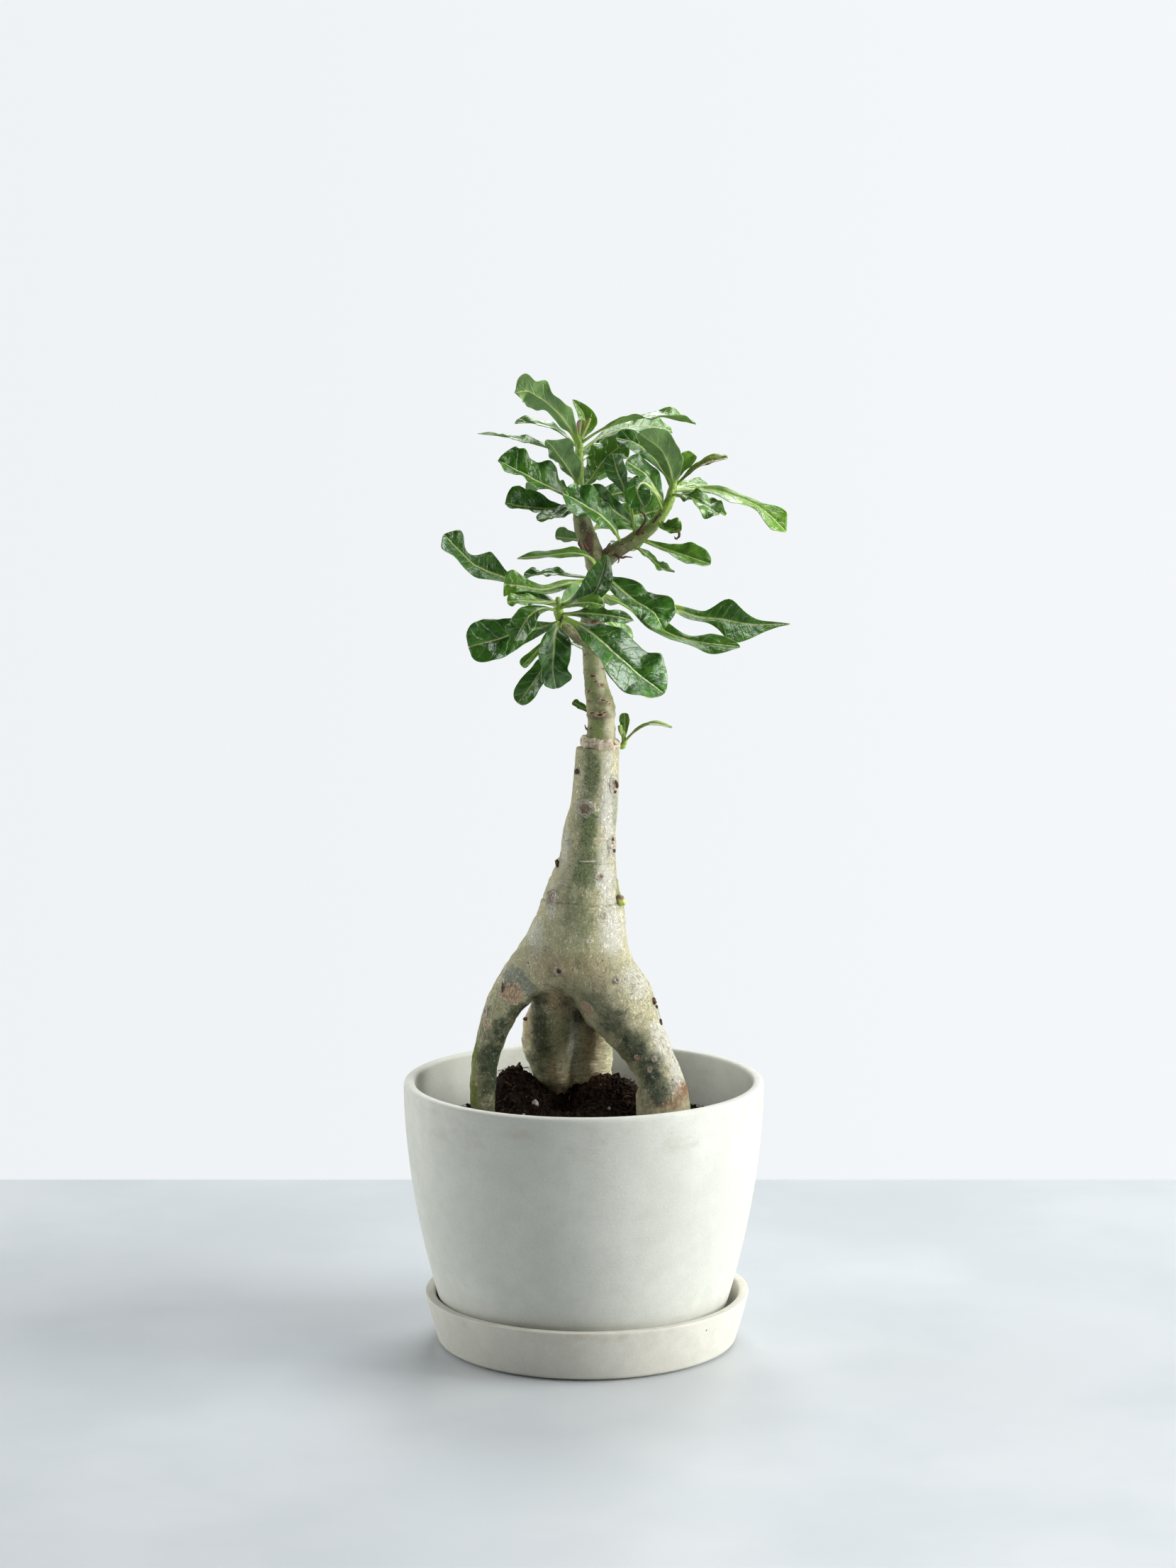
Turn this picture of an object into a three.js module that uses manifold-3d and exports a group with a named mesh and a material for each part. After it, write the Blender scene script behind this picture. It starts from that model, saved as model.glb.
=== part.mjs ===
// Potted desert rose (adenium), a grafted plant: a swollen rootstock that stands on three
// legs, a slender woody scion with leafy tips, soil, a tapered pot and its saucer.
// Millimetres, +Z up. The origin lies on the table, under the axis of the pot.

import * as THREE from 'three';
import { mergeVertices } from 'three/addons/utils/BufferGeometryUtils.js';
import Module from 'manifold-3d';

const wasm = await Module();
wasm.setup();

// Driving dimensions
const GAP = 0.3;
const POT = { rim: 100, foot: 75, wall: 6.1, base: 6, top: 148.5, floor: 8, bulge: 1.9, drain: 7, cove: 4,
  heel: 1.7, bevel: 1.8, lip: 1.3 };
const POT_HEIGHTS = [18, 36, 60, 90, 120];
const SAUCER = { rim: 90.6, foot: 83.5, well: 78.3, wall: 5.8, top: 29, floor: 6, disc: 79, step: 1.2,
  shift: 1.8, heel: 1.2, flare: 4, flareTop: 16, bevel: 1.5, cove: 2.8 };
const SOIL = { edge: 116, mound: 23, spread: 40, centre: [-5, 8], clod: 1.1, clear: 1, rings: 10,
  sectors: 32 };
const CALLUS = { x: 9.3, bottom: 331.5, top: 339.5, radius: 10.6, lip: 1.2, sunk: 2, sides: 24 };
const BARK = { low: [-70.4, -48.2, 98.2], high: [74, 50, 345], cell: [5.5, 5.5, 7.5], blend: 11, neck: 9,
  groove: 3.5 };
const BLADE = { thickness: 0.8, stalk: 0.95, stalkThickness: 1.9, stalkEnd: 0.35, rise: 1.15, lag: 1.9,
  cell: 9.3, fewestCells: 4, mostCells: 8, crowding: 1.3, narrow: 14 };
const SIDES = { round: 40, mainWood: 12, wood: 10, shoot: 8 };

const LOOKS = {
  pot: { color: '#b9bbb0', roughness: 0.7 },
  soil: { color: '#2b1f19', roughness: 1 },
  bark: { color: '#a9a487', roughness: 0.8 },
  wood: { color: '#8d8468', roughness: 0.8 },
  leaderLeaf: { color: '#4f7a32', roughness: 0.4 },
  rightLeaf: { color: '#5d8232', roughness: 0.4 },
  leftLeaf: { color: '#3f6a35', roughness: 0.4 },
  sproutLeaf: { color: '#5f7a3c', roughness: 0.4 },
};

// Solids

// A closed geometry as a solid that can be joined and cut.
function solid(geometry) {
  geometry.deleteAttribute('normal');
  geometry.deleteAttribute('uv');
  const merged = mergeVertices(geometry, 1e-4);
  return new wasm.Manifold(new wasm.Mesh({
    numProp: 3,
    vertProperties: Float32Array.from(merged.attributes.position.array),
    triVerts: Uint32Array.from(merged.index.array),
  }));
}

// A solid back as a geometry.
function geometryOf(shape) {
  const { vertProperties, triVerts } = shape.getMesh();
  const geometry = new THREE.BufferGeometry();
  geometry.setAttribute('position', new THREE.BufferAttribute(vertProperties, 3));
  geometry.setIndex(new THREE.BufferAttribute(triVerts, 1));
  return geometry;
}

// A geometry from a list of points and a list of triangles.
function geometryFrom(points, triangles) {
  const geometry = new THREE.BufferGeometry();
  geometry.setAttribute('position', new THREE.Float32BufferAttribute(points.flat(), 3));
  geometry.setIndex(triangles.flat());
  return geometry;
}

function joined(solids) {
  return solids.reduce((whole, piece) => whole.add(piece));
}

// A turned shape from its outline of [radius, height] points, stood upright.
function turned(outline, sides = SIDES.round) {
  const profile = [...outline, outline[0]].map(([radius, height]) => new THREE.Vector2(radius, height));
  return new THREE.LatheGeometry(profile, sides).rotateX(Math.PI / 2);
}

// Stems

// A smooth line through points [x, y, z, ...].
function lineThrough(points) {
  const places = points.map(([x, y, z]) => new THREE.Vector3(x, y, z));
  return new THREE.CatmullRomCurve3(places, false, 'catmullrom');
}

// A round stem through points [x, y, z, radius].
function stem(points, sides, stepsEach = 2) {
  const line = lineThrough(points);
  const steps = (points.length - 1) * stepsEach;
  const tube = new THREE.CylinderGeometry(1, 1, 1, sides, steps);
  const place = tube.attributes.position;
  for (let i = 0; i < place.count; i += 1) {
    const u = place.getY(i) + 0.5;
    const step = u * (points.length - 1);
    const from = Math.min(Math.floor(step), points.length - 2);
    const radius = THREE.MathUtils.lerp(points[from][3], points[from + 1][3], step - from);
    const along = line.getTangent(u);
    const side = new THREE.Vector3(0, -1, 0).cross(along).normalize();
    const depth = side.clone().cross(along);
    const centre = line.getPoint(u);
    centre.addScaledVector(side, place.getX(i) * radius).addScaledVector(depth, place.getZ(i) * radius);
    place.setXYZ(i, ...centre);
  }
  return solid(tube);
}

// The first two points of a stem that carries straight on, a gap beyond the end of another.
function onward(points, radius, reach) {
  const line = lineThrough(points);
  return [GAP, reach].map((far) => [...line.getPoint(1).addScaledVector(line.getTangent(1), far), radius]);
}

// Leaves

// How wide a blade is along its length, from 0 at its ends to 1 at its widest.
function outlineOf(t, stalkLength, taper) {
  const s = THREE.MathUtils.clamp((t - stalkLength) / (1 - stalkLength), 0, 1);
  const widest = BLADE.rise / (BLADE.rise + taper);
  const most = widest ** BLADE.rise * (1 - widest) ** taper;
  return (s ** BLADE.rise * (1 - s) ** taper) / most;
}

// How wide one half of a blade is at a share s of its length: read from shares of the half width
// at even steps, and rounded off over the tip.
function edgeShare(shares, s, tip) {
  const step = s * (shares.length - 1);
  const i = Math.min(Math.floor(step), shares.length - 2);
  const rounding = Math.sqrt(1 - THREE.MathUtils.clamp((s - 1 + tip) / tip, 0, 1) ** 2);
  return THREE.MathUtils.lerp(shares[i], shares[i + 1], step - i) * rounding;
}

// A leaf blade on its stalk. It follows its path, from the stem to the tip, and its upper
// side looks toward face, or turns from face to tipFace. fold lifts both halves, in degrees,
// wave is the height of the ripples along its margins, and taper sharpens the tip. edges gives a
// blade an outline of its own in place of the plain one, for the side's half and the other half.
function leaf({ path, width, face, tipFace = face, fold = 14, wave = 1.8, waves = 2.5,
  phase = 0, stalkLength = 0.12, taper = 0.42, edges, tip = 0.14 }) {
  const line = lineThrough(path);
  const cells = line.getLength() / BLADE.cell;
  const along = Math.round(THREE.MathUtils.clamp(cells, BLADE.fewestCells, BLADE.mostCells));
  const across = width > BLADE.narrow ? 4 : 2;
  const lift = THREE.MathUtils.degToRad(fold);
  const middle = [];
  for (let i = 0; i <= along; i += 1) {
    const t = 1 - (1 - i / along) ** BLADE.crowding;
    const s = THREE.MathUtils.clamp((t - stalkLength) / (1 - stalkLength), 0, 1);
    const plain = outlineOf(t, stalkLength, taper);
    const shapes = edges ? edges.map((shares) => edgeShare(shares, s, tip)) : [plain, plain];
    const shape = Math.min((shapes[0] + shapes[1]) / 2, 1);
    const tangent = line.getTangent(t);
    const up = new THREE.Vector3(...face).lerp(new THREE.Vector3(...tipFace), t);
    up.addScaledVector(tangent, -up.dot(tangent)).normalize();
    const side = tangent.clone().cross(up);
    for (let j = 0; j <= across; j += 1) {
      const v = (2 * j) / across - 1;
      const half = BLADE.stalk + (width / 2 - BLADE.stalk) * shapes[v > 0 ? 0 : 1];
      const turn = 2 * Math.PI * waves * t + phase + (v > 0 ? 0 : BLADE.lag);
      const ripple = wave * shape * v * v * Math.sin(turn);
      const height = Math.abs(v) * half * Math.sin(lift) + ripple;
      const point = line.getPoint(t).addScaledVector(side, v * half * Math.cos(lift));
      middle.push(point.addScaledVector(up, height));
    }
  }
  return solid(thickened(middle, along, across));
}

// A grid of points given a thickness, with the same triangles on both of its faces.
function thickened(middle, along, across) {
  const row = across + 1;
  const at = (i, j) => middle[i * row + j];
  const upper = [];
  const lower = [];
  for (let i = 0; i <= along; i += 1) {
    const stalky = 1 - THREE.MathUtils.smoothstep(i / along, 0, BLADE.stalkEnd);
    const half = THREE.MathUtils.lerp(BLADE.thickness, BLADE.stalkThickness, stalky) / 2;
    for (let j = 0; j <= across; j += 1) {
      const ahead = at(Math.min(i + 1, along), j).clone().sub(at(Math.max(i - 1, 0), j));
      const aside = at(i, Math.min(j + 1, across)).clone().sub(at(i, Math.max(j - 1, 0)));
      const normal = aside.cross(ahead).normalize();
      upper.push(at(i, j).clone().addScaledVector(normal, half).toArray());
      lower.push(at(i, j).clone().addScaledVector(normal, -half).toArray());
    }
  }
  const top = (i, j) => i * row + j;
  const under = (i, j) => upper.length + i * row + j;
  const triangles = [];
  for (let i = 0; i < along; i += 1) {
    for (let j = 0; j < across; j += 1) {
      triangles.push([top(i, j), top(i, j + 1), top(i + 1, j + 1)]);
      triangles.push([top(i, j), top(i + 1, j + 1), top(i + 1, j)]);
      triangles.push([under(i, j), under(i + 1, j + 1), under(i, j + 1)]);
      triangles.push([under(i, j), under(i + 1, j), under(i + 1, j + 1)]);
    }
    triangles.push([top(i, 0), top(i + 1, 0), under(i, 0)]);
    triangles.push([under(i, 0), top(i + 1, 0), under(i + 1, 0)]);
    triangles.push([top(i, across), under(i, across), top(i + 1, across)]);
    triangles.push([under(i, across), under(i + 1, across), top(i + 1, across)]);
  }
  for (let j = 0; j < across; j += 1) {
    triangles.push([top(0, j), under(0, j), top(0, j + 1)]);
    triangles.push([under(0, j), under(0, j + 1), top(0, j + 1)]);
    triangles.push([top(along, j), top(along, j + 1), under(along, j)]);
    triangles.push([under(along, j), top(along, j + 1), under(along, j + 1)]);
  }
  return geometryFrom([...upper, ...lower], triangles);
}

// Grown skin

// The distance from a point to a limb of points [x, y, z, radius], below zero inside it.
function limbDistance(limb, x, y, z) {
  let nearest = Infinity;
  for (let i = 0; i + 1 < limb.length; i += 1) {
    const [ax, ay, az, aRadius] = limb[i];
    const [bx, by, bz, bRadius] = limb[i + 1];
    const [dx, dy, dz] = [bx - ax, by - ay, bz - az];
    const dot = (x - ax) * dx + (y - ay) * dy + (z - az) * dz;
    const h = THREE.MathUtils.clamp(dot / (dx * dx + dy * dy + dz * dz), 0, 1);
    const away = Math.hypot(x - ax - h * dx, y - ay - h * dy, z - az - h * dz);
    nearest = Math.min(nearest, away - THREE.MathUtils.lerp(aRadius, bRadius, h));
  }
  return nearest;
}

// The lesser of two distances, rounded where they are within blend of each other.
function blended(a, b, blend) {
  const near = Math.max(blend - Math.abs(a - b), 0) / blend;
  return Math.min(a, b) - (near * near * blend) / 4;
}

// The closed surface where a field is zero, with one point in each cell that it passes.
function skin(field, { low, high, cell }) {
  const count = [0, 1, 2].map((axis) => Math.ceil((high[axis] - low[axis]) / cell[axis]) + 1);
  const at = (i, j, k) => i + count[0] * (j + count[1] * k);
  const place = (i, j, k) => [low[0] + i * cell[0], low[1] + j * cell[1], low[2] + k * cell[2]];
  const value = new Float64Array(count[0] * count[1] * count[2]);
  eachCell(count, (i, j, k) => {
    value[at(i, j, k)] = field(...place(i, j, k));
  });
  const corners = [0, 1, 2, 3, 4, 5, 6, 7].map((n) => [n & 1, (n >> 1) & 1, n >> 2]);
  const edges = [[0, 1], [2, 3], [4, 5], [6, 7], [0, 2], [1, 3], [4, 6], [5, 7],
    [0, 4], [1, 5], [2, 6], [3, 7]];
  const points = [];
  const pointOf = new Map();
  eachCell(count.map((n) => n - 1), (i, j, k) => {
    const sum = new THREE.Vector3();
    let crossings = 0;
    for (const [from, to] of edges) {
      const a = corners[from].map((n, axis) => n + [i, j, k][axis]);
      const b = corners[to].map((n, axis) => n + [i, j, k][axis]);
      const [va, vb] = [value[at(...a)], value[at(...b)]];
      if ((va < 0) !== (vb < 0)) {
        const start = new THREE.Vector3(...place(...a));
        sum.add(start.lerp(new THREE.Vector3(...place(...b)), va / (va - vb)));
        crossings += 1;
      }
    }
    if (crossings > 0) {
      pointOf.set(at(i, j, k), points.length);
      points.push(sum.divideScalar(crossings).toArray());
    }
  });
  const triangles = [];
  eachCell(count.map((n) => n - 1), (...here) => {
    for (let axis = 0; axis < 3; axis += 1) {
      const [second, third] = [(axis + 1) % 3, (axis + 2) % 3];
      const next = here.map((n, a) => n + (a === axis ? 1 : 0));
      const [from, to] = [value[at(...here)] < 0, value[at(...next)] < 0];
      if (from !== to && here[second] > 0 && here[third] > 0) {
        const around = [[0, 0], [-1, 0], [-1, -1], [0, -1]].map(([p, q]) => {
          const near = [...here];
          near[second] += p;
          near[third] += q;
          return pointOf.get(at(...near));
        });
        const [a, b, c, d] = from ? around : around.reverse();
        triangles.push([a, b, c], [a, c, d]);
      }
    }
  });
  return geometryFrom(points, triangles);
}

function eachCell(count, visit) {
  for (let k = 0; k < count[2]; k += 1) {
    for (let j = 0; j < count[1]; j += 1) {
      for (let i = 0; i < count[0]; i += 1) visit(i, j, k);
    }
  }
}

// Pot and saucer

// The pot's outer radius at a height: a taper that swells toward the rim.
function potRadius(z) {
  const h = (z - POT.base) / (POT.top - POT.base);
  return POT.foot + (POT.rim - POT.foot) * (1 - (1 - h) ** POT.bulge);
}

function potGeometry() {
  const { base, top, wall, floor, drain, cove, heel, bevel, lip } = POT;
  const outside = POT_HEIGHTS.map((z) => [potRadius(z), z]);
  const inside = [...POT_HEIGHTS].reverse().slice(0, -1).map((z) => [potRadius(z) - wall, z]);
  return turned([
    [drain, base], [potRadius(base) - heel, base], [potRadius(base), base + heel],
    ...outside,
    [potRadius(top), top - bevel], [potRadius(top) - bevel, top],
    [potRadius(top) - wall + lip, top], [potRadius(top) - wall, top - lip],
    ...inside,
    [potRadius(base + floor) - wall - cove, base + floor], [drain, base + floor],
  ]);
}

// How far out the soil reaches at a height, clear of the flat facets of the pot's inside.
function soilRadius(z) {
  const above = POT_HEIGHTS.findIndex((height) => height >= z);
  const [low, high] = [POT_HEIGHTS[above - 1], POT_HEIGHTS[above]];
  const inner = THREE.MathUtils.mapLinear(z, low, high, potRadius(low), potRadius(high)) - POT.wall;
  return inner * Math.cos(Math.PI / SIDES.round) - GAP;
}

function saucerGeometry() {
  const { rim, foot, well, wall, top, floor, disc, step, shift, heel, flare, flareTop, bevel, cove } = SAUCER;
  return turned([
    [0, 0], [disc, 0], [disc, step], [foot - heel, step], [foot, step + heel],
    [foot + flare, flareTop], [rim, top - bevel], [rim - bevel, top],
    [rim - wall + bevel, top], [rim - wall, top - bevel],
    [well + cove / 2, floor + cove], [well - cove / 2, floor], [0, floor],
  ]).translate(shift, 0, 0);
}

// Rootstock

// Limbs of the rootstock: points [x, y, z, radius] down each of them.
const TRUNK = [[8, 0, 338, 11], [7.4, 0, 326, 11.6], [6.6, 0, 312, 12], [5.6, 0, 300, 12.4],
  [3, 0, 285, 14], [2, 0, 270, 15.4], [-0.6, 0, 252, 19.8], [-1, 1, 240, 23.2], [-2.8, 2, 226, 25],
  [-3.2, 2, 217, 21]];
const LEFT_LEG = [[-16, -3, 218.6, 18.8], [-32.6, -6, 206.4, 13.2], [-43.6, -7, 192, 10.4],
  [-50.2, -7, 175, 8], [-54.8, -7, 158, 7.2], [-55.8, -7, 138, 6.8], [-54, -7, 106, 5.5]];
const RIGHT_LEG = [[7, -4, 212, 18.4], [17.4, -9, 195, 20.4], [27, -13, 181, 16.4], [32.2, -15, 172, 14.2],
  [38, -19, 162, 12.4], [43, -21.5, 151, 12.4], [43.4, -23, 137, 15.4], [44.2, -23, 124, 14],
  [45, -22, 106, 7]];
const BACK_LOBE = [[-13, -4, 212, 9.5], [-14.5, -2, 202, 10.4], [-16, 3.5, 190, 12.8], [-18, 11.5, 178, 14.8],
  [-19.2, 19, 165, 15.2], [-17, 23.5, 151, 12.8], [-13, 25, 138, 9.5], [-12, 25, 106, 6]];
const BACK_ROOT = [[1, 2, 206, 12], [2.4, 10, 190, 12.2], [3.6, 18, 175, 12], [4.4, 22, 160, 11.6],
  [4.8, 23, 146, 11], [5, 23, 130, 9], [5, 22, 106, 6]];

function barkField(x, y, z) {
  const back = blended(limbDistance(BACK_LOBE, x, y, z), limbDistance(BACK_ROOT, x, y, z), BARK.groove);
  const legs = blended(limbDistance(LEFT_LEG, x, y, z), limbDistance(RIGHT_LEG, x, y, z), BARK.blend);
  const upper = Math.max(limbDistance(TRUNK, x, y, z), z - CALLUS.bottom - CALLUS.sunk);
  return blended(blended(upper, legs, BARK.blend), blended(upper, back, BARK.neck), BARK.groove);
}

// The corky ring where the scion was set on the stock.
function callusGeometry() {
  const { x, bottom, top, radius, lip, sides } = CALLUS;
  return turned([
    [0, bottom], [radius - lip, bottom], [radius, bottom + 2 * lip], [radius, top - 2 * lip],
    [radius - lip, top - lip / 3], [radius - 2 * lip, top], [0, top],
  ], sides).translate(x, 0, 0);
}

function rootstockSolid() {
  return solid(skin(barkField, BARK)).add(solid(callusGeometry()));
}

// Soil

// A repeatable random number between -1 and 1 for each place in the soil.
function scatter(a, b) {
  const [first, second, stretch] = [127.1, 311.7, 43758.5453];
  const n = Math.sin(a * first + b * second) * stretch;
  return 2 * (n - Math.floor(n)) - 1;
}

// Heaps of coco fibre around the roots, and a hollow before them: [x, y, height, spread].
const HEAPS = [[-42, 22, 20, 11], [8, 16, 9, 8], [25, 6, 11, 9], [8, 40, 6, 16], [-20, 48, 5, 14],
  [-10, 1, -15, 9]];

function soilHeight(x, y) {
  const [cx, cy] = SOIL.centre;
  const bell = (dx, dy, spread) => Math.exp(-(dx * dx + dy * dy) / (2 * spread * spread));
  const mound = SOIL.edge + SOIL.mound * bell(x - cx, y - cy, SOIL.spread);
  return HEAPS.reduce((z, [hx, hy, height, spread]) => z + height * bell(x - hx, y - hy, spread), mound);
}

function soilSolid() {
  const { rings, sectors, clod, clear } = SOIL;
  const floor = POT.base + POT.floor;
  const wallHeights = POT_HEIGHTS.filter((z) => z > floor + POT.floor && z < SOIL.edge).reverse();
  const points = [[0, 0, soilHeight(0, 0)]];
  const turn = (sector) => (2 * Math.PI * sector) / sectors;
  for (let ring = 1; ring <= rings; ring += 1) {
    for (let sector = 0; sector < sectors; sector += 1) {
      const reach = (ring / rings) * soilRadius(SOIL.edge);
      const [x, y] = [reach * Math.cos(turn(sector)), reach * Math.sin(turn(sector))];
      const height = soilHeight(x, y) + clod * scatter(ring, sector);
      const trim = ring === rings ? soilRadius(height) / reach : 1;
      points.push([x * trim, y * trim, height]);
    }
  }
  for (const z of [...wallHeights, floor]) {
    const radius = z === floor ? potRadius(floor) - POT.wall - POT.cove - clear : soilRadius(z);
    for (let sector = 0; sector < sectors; sector += 1) {
      points.push([radius * Math.cos(turn(sector)), radius * Math.sin(turn(sector)), z]);
    }
  }
  points.push([0, 0, floor]);
  const rows = rings + wallHeights.length + 1;
  const at = (row, sector) => 1 + row * sectors + (sector % sectors);
  const triangles = [];
  for (let sector = 0; sector < sectors; sector += 1) {
    triangles.push([0, at(0, sector), at(0, sector + 1)]);
    for (let row = 0; row + 1 < rows; row += 1) {
      const [a, b] = [at(row, sector), at(row, sector + 1)];
      const [c, d] = [at(row + 1, sector), at(row + 1, sector + 1)];
      triangles.push([a, c, d], [a, d, b]);
    }
    triangles.push([points.length - 1, at(rows - 1, sector + 1), at(rows - 1, sector)]);
  }
  const hole = solid(skin((x, y, z) => barkField(x, y, z) - 2 * GAP, BARK));
  return solid(geometryFrom(points, triangles)).subtract(hole);
}

// Scion wood

// Woody stems: points [x, y, z, radius] from the graft up to each tip.
const MAIN_WOOD = [[9.5, 0, CALLUS.top + GAP, 8.3], [9.6, 0, 347, 7.3], [9.2, 0, 357, 7.7], [7, 0, 367, 6.4],
  [5.8, 0, 378, 6.1], [5.2, 0, 392, 6.1], [4.7, 0, 404, 6.4], [6.4, 0, 416, 5.3], [7.2, 0, 428, 5.1],
  [6.8, 0, 436, 5.9], [4.2, 0, 444, 5.2], [1.4, 0, 450.5, 5.2], [-0.4, 0, 456.5, 5.1], [-1.2, 0, 462.5, 4.2]];
const RIGHT_WOOD = [[6, 0, 431, 4.6], [13, -1, 438.5, 4.8], [20, -2, 443.5, 4.3], [28, -3, 448.5, 4],
  [35.5, -4, 454, 3.6]];
const SPUR_WOOD = [[5, -2, 391, 3.6], [-2, -9, 395.5, 3.8], [-9.5, -16.5, 402.5, 3.4]];

// Leaves that grow from the old wood.
const WOOD_LEAVES = [
  { path: [[28, -3, 450], [26, -10, 463], [22.5, -13.5, 475], [18.5, -15, 485], [15.5, -15, 495]], width: 13,
    face: [-0.4, -0.9, 0.1], stalkLength: 0.45, wave: 0.8 },
  { path: [[20.5, -3, 446], [14, -11, 457.5], [3, -17, 466], [-11, -19, 474]], width: 21,
    face: [0.1, -0.8, 0.6], wave: 2.4, waves: 3, fold: 20 },
  { path: [[28, -2, 451], [26, -6, 457], [18, -8.5, 463], [9.5, -10, 470.5], [3, -10.5, 477]], width: 12,
    face: [-0.2, -0.9, 0.4], wave: 1.4 },
  { path: [[3, 2, 452], [13, 13, 456.5], [29, 19, 460], [45, 22, 463.5]], width: 20,
    face: [0, -0.95, 0.3], wave: 1.4 },
  { path: [[30, -3, 448.5], [41, -6, 444.3], [54, -9, 440], [69, -11, 435.5]], width: 19,
    face: [-0.1, -0.7, 0.75], fold: 30, wave: 1.2,
    edges: [[0.1, 0.2, 0.3, 0.5, 0.85, 1, 1, 0.9, 0.6, 0],
      [0.1, 0.2, 0.25, 0.35, 0.7, 1, 0.85, 0.6, 0.4, 0]] },
  { path: [[25, -2, 445], [31, -6, 442.5], [37, -9, 437.5], [42.5, -10, 433], [49.5, -10, 431]], width: 9,
    face: [0.5, -0.6, 0.6], tipFace: [0.1, -0.2, 1], wave: 1.2 },
  { path: [[1, 1, 446], [-6, 4, 449], [-15, 6, 451]], width: 8, face: [0, -0.7, 0.7], fold: 35, wave: 0.6 },
  { path: [[8, -3, 430], [4, -8, 438], [-5, -10, 441], [-20, -12, 440], [-36, -13, 438.5]], width: 8.5,
    face: [0.1, -0.6, 0.8], wave: 0.8, stalkLength: 0.2,
    edges: [[0.2, 0.5, 0.8, 1, 0.9, 1, 0.9, 0.55, 0.1], [0.2, 0.6, 0.8, 0.9, 1, 0.9, 0.7, 0.4, 0.05]] },
  { path: [[5, -3, 425.5], [-8, -11, 424.6], [-21, -18, 422], [-33, -21, 424], [-43, -22, 425.5]],
    width: 17, face: [0.2, -0.6, 0.8], tipFace: [0.3, -0.95, 0.1], fold: 12, wave: 0.8, tip: 0.03,
    edges: [[0.1, 0.2, 0.3, 0.25, 0.2, 0.3, 0.45, 0.75, 1, 0.7],
      [0.1, 0.2, 0.3, 0.35, 0.3, 0.2, 0.2, 0.4, 0.65, 0.9]] },
  { path: [[5, 3, 426.5], [-9, 9, 427.8], [-21, 12, 428.8], [-33, 13, 427]], width: 11,
    face: [0, -0.3, 0.95], wave: 1.4 },
  { path: [[6, 3, 405], [14, 11, 402.5], [20, 16, 396], [25, 18, 388]], width: 13,
    face: [0.6, -0.6, 0.4], wave: 0.8 },
  { path: [[8, -2, 431], [17, -12, 424.5], [28, -18, 416], [37.5, -22, 410], [42, -24, 403]], width: 22,
    face: [0.1, -0.85, 0.5], tipFace: [0.5, -0.8, 0.2], fold: 14,
    edges: [[0.1, 0.3, 0.5, 0.6, 0.65, 0.8, 1, 0.95, 0.6], [0.1, 0.4, 0.7, 0.8, 0.75, 0.95, 1.1, 1, 0.5]] },
  { path: [[7, 0, 418.5], [21, -2, 413.5], [34, -6, 405.5], [48, -11, 397], [64, -15, 393],
    [83.5, -17, 391]], width: 12, face: [-0.1, -0.75, 0.65], stalkLength: 0.3, waves: 2,
    edges: [[0.15, 0.5, 0.75, 0.8, 0.7, 0.5, 0.7, 1.1, 0.9, 0.3],
      [0.15, 0.5, 0.7, 0.75, 0.6, 0.4, 0.6, 1, 0.8, 0.3]] },
  { path: [[8, 2, 423], [28, 5, 417], [48, 5, 410.5], [62, 4, 405.5], [76, 3, 404], [92, 1, 401.5],
    [113, 0, 401.8]], width: 27, face: [0, -0.6, 0.8], tipFace: [0.1, -0.95, 0.1], wave: 2.2, waves: 2.2,
    phase: 2.4, stalkLength: 0.36, edges: [[0.1, 0.25, 0.2, 0.12, 0.25, 0.6, 1, 0.75, 0.4, 0.15, 0.03],
      [0.1, 0.2, 0.25, 0.2, 0.6, 1, 0.75, 0.5, 0.25, 0.1, 0.02]] },
  { path: [[7, 2, 351], [-1, 5, 355.5], [-6, 6, 358.5]], width: 5, face: [0, -0.7, 0.7], wave: 0.4 },
  { path: [[6, 3, 410], [8, 20, 414], [12, 38, 413], [15, 52, 408]], width: 17, face: [0.1, -0.2, 1] },
  { path: [[14, 1, 440], [18, 16, 444], [24, 32, 444], [28, 46, 439]], width: 16, face: [-0.2, -0.3, 1] },
  { path: [[4, 2, 385], [-4, 17, 389], [-9, 32, 388], [-14, 44, 383]], width: 15, face: [0.1, -0.2, 1] },
];

// Leader shoot

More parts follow.
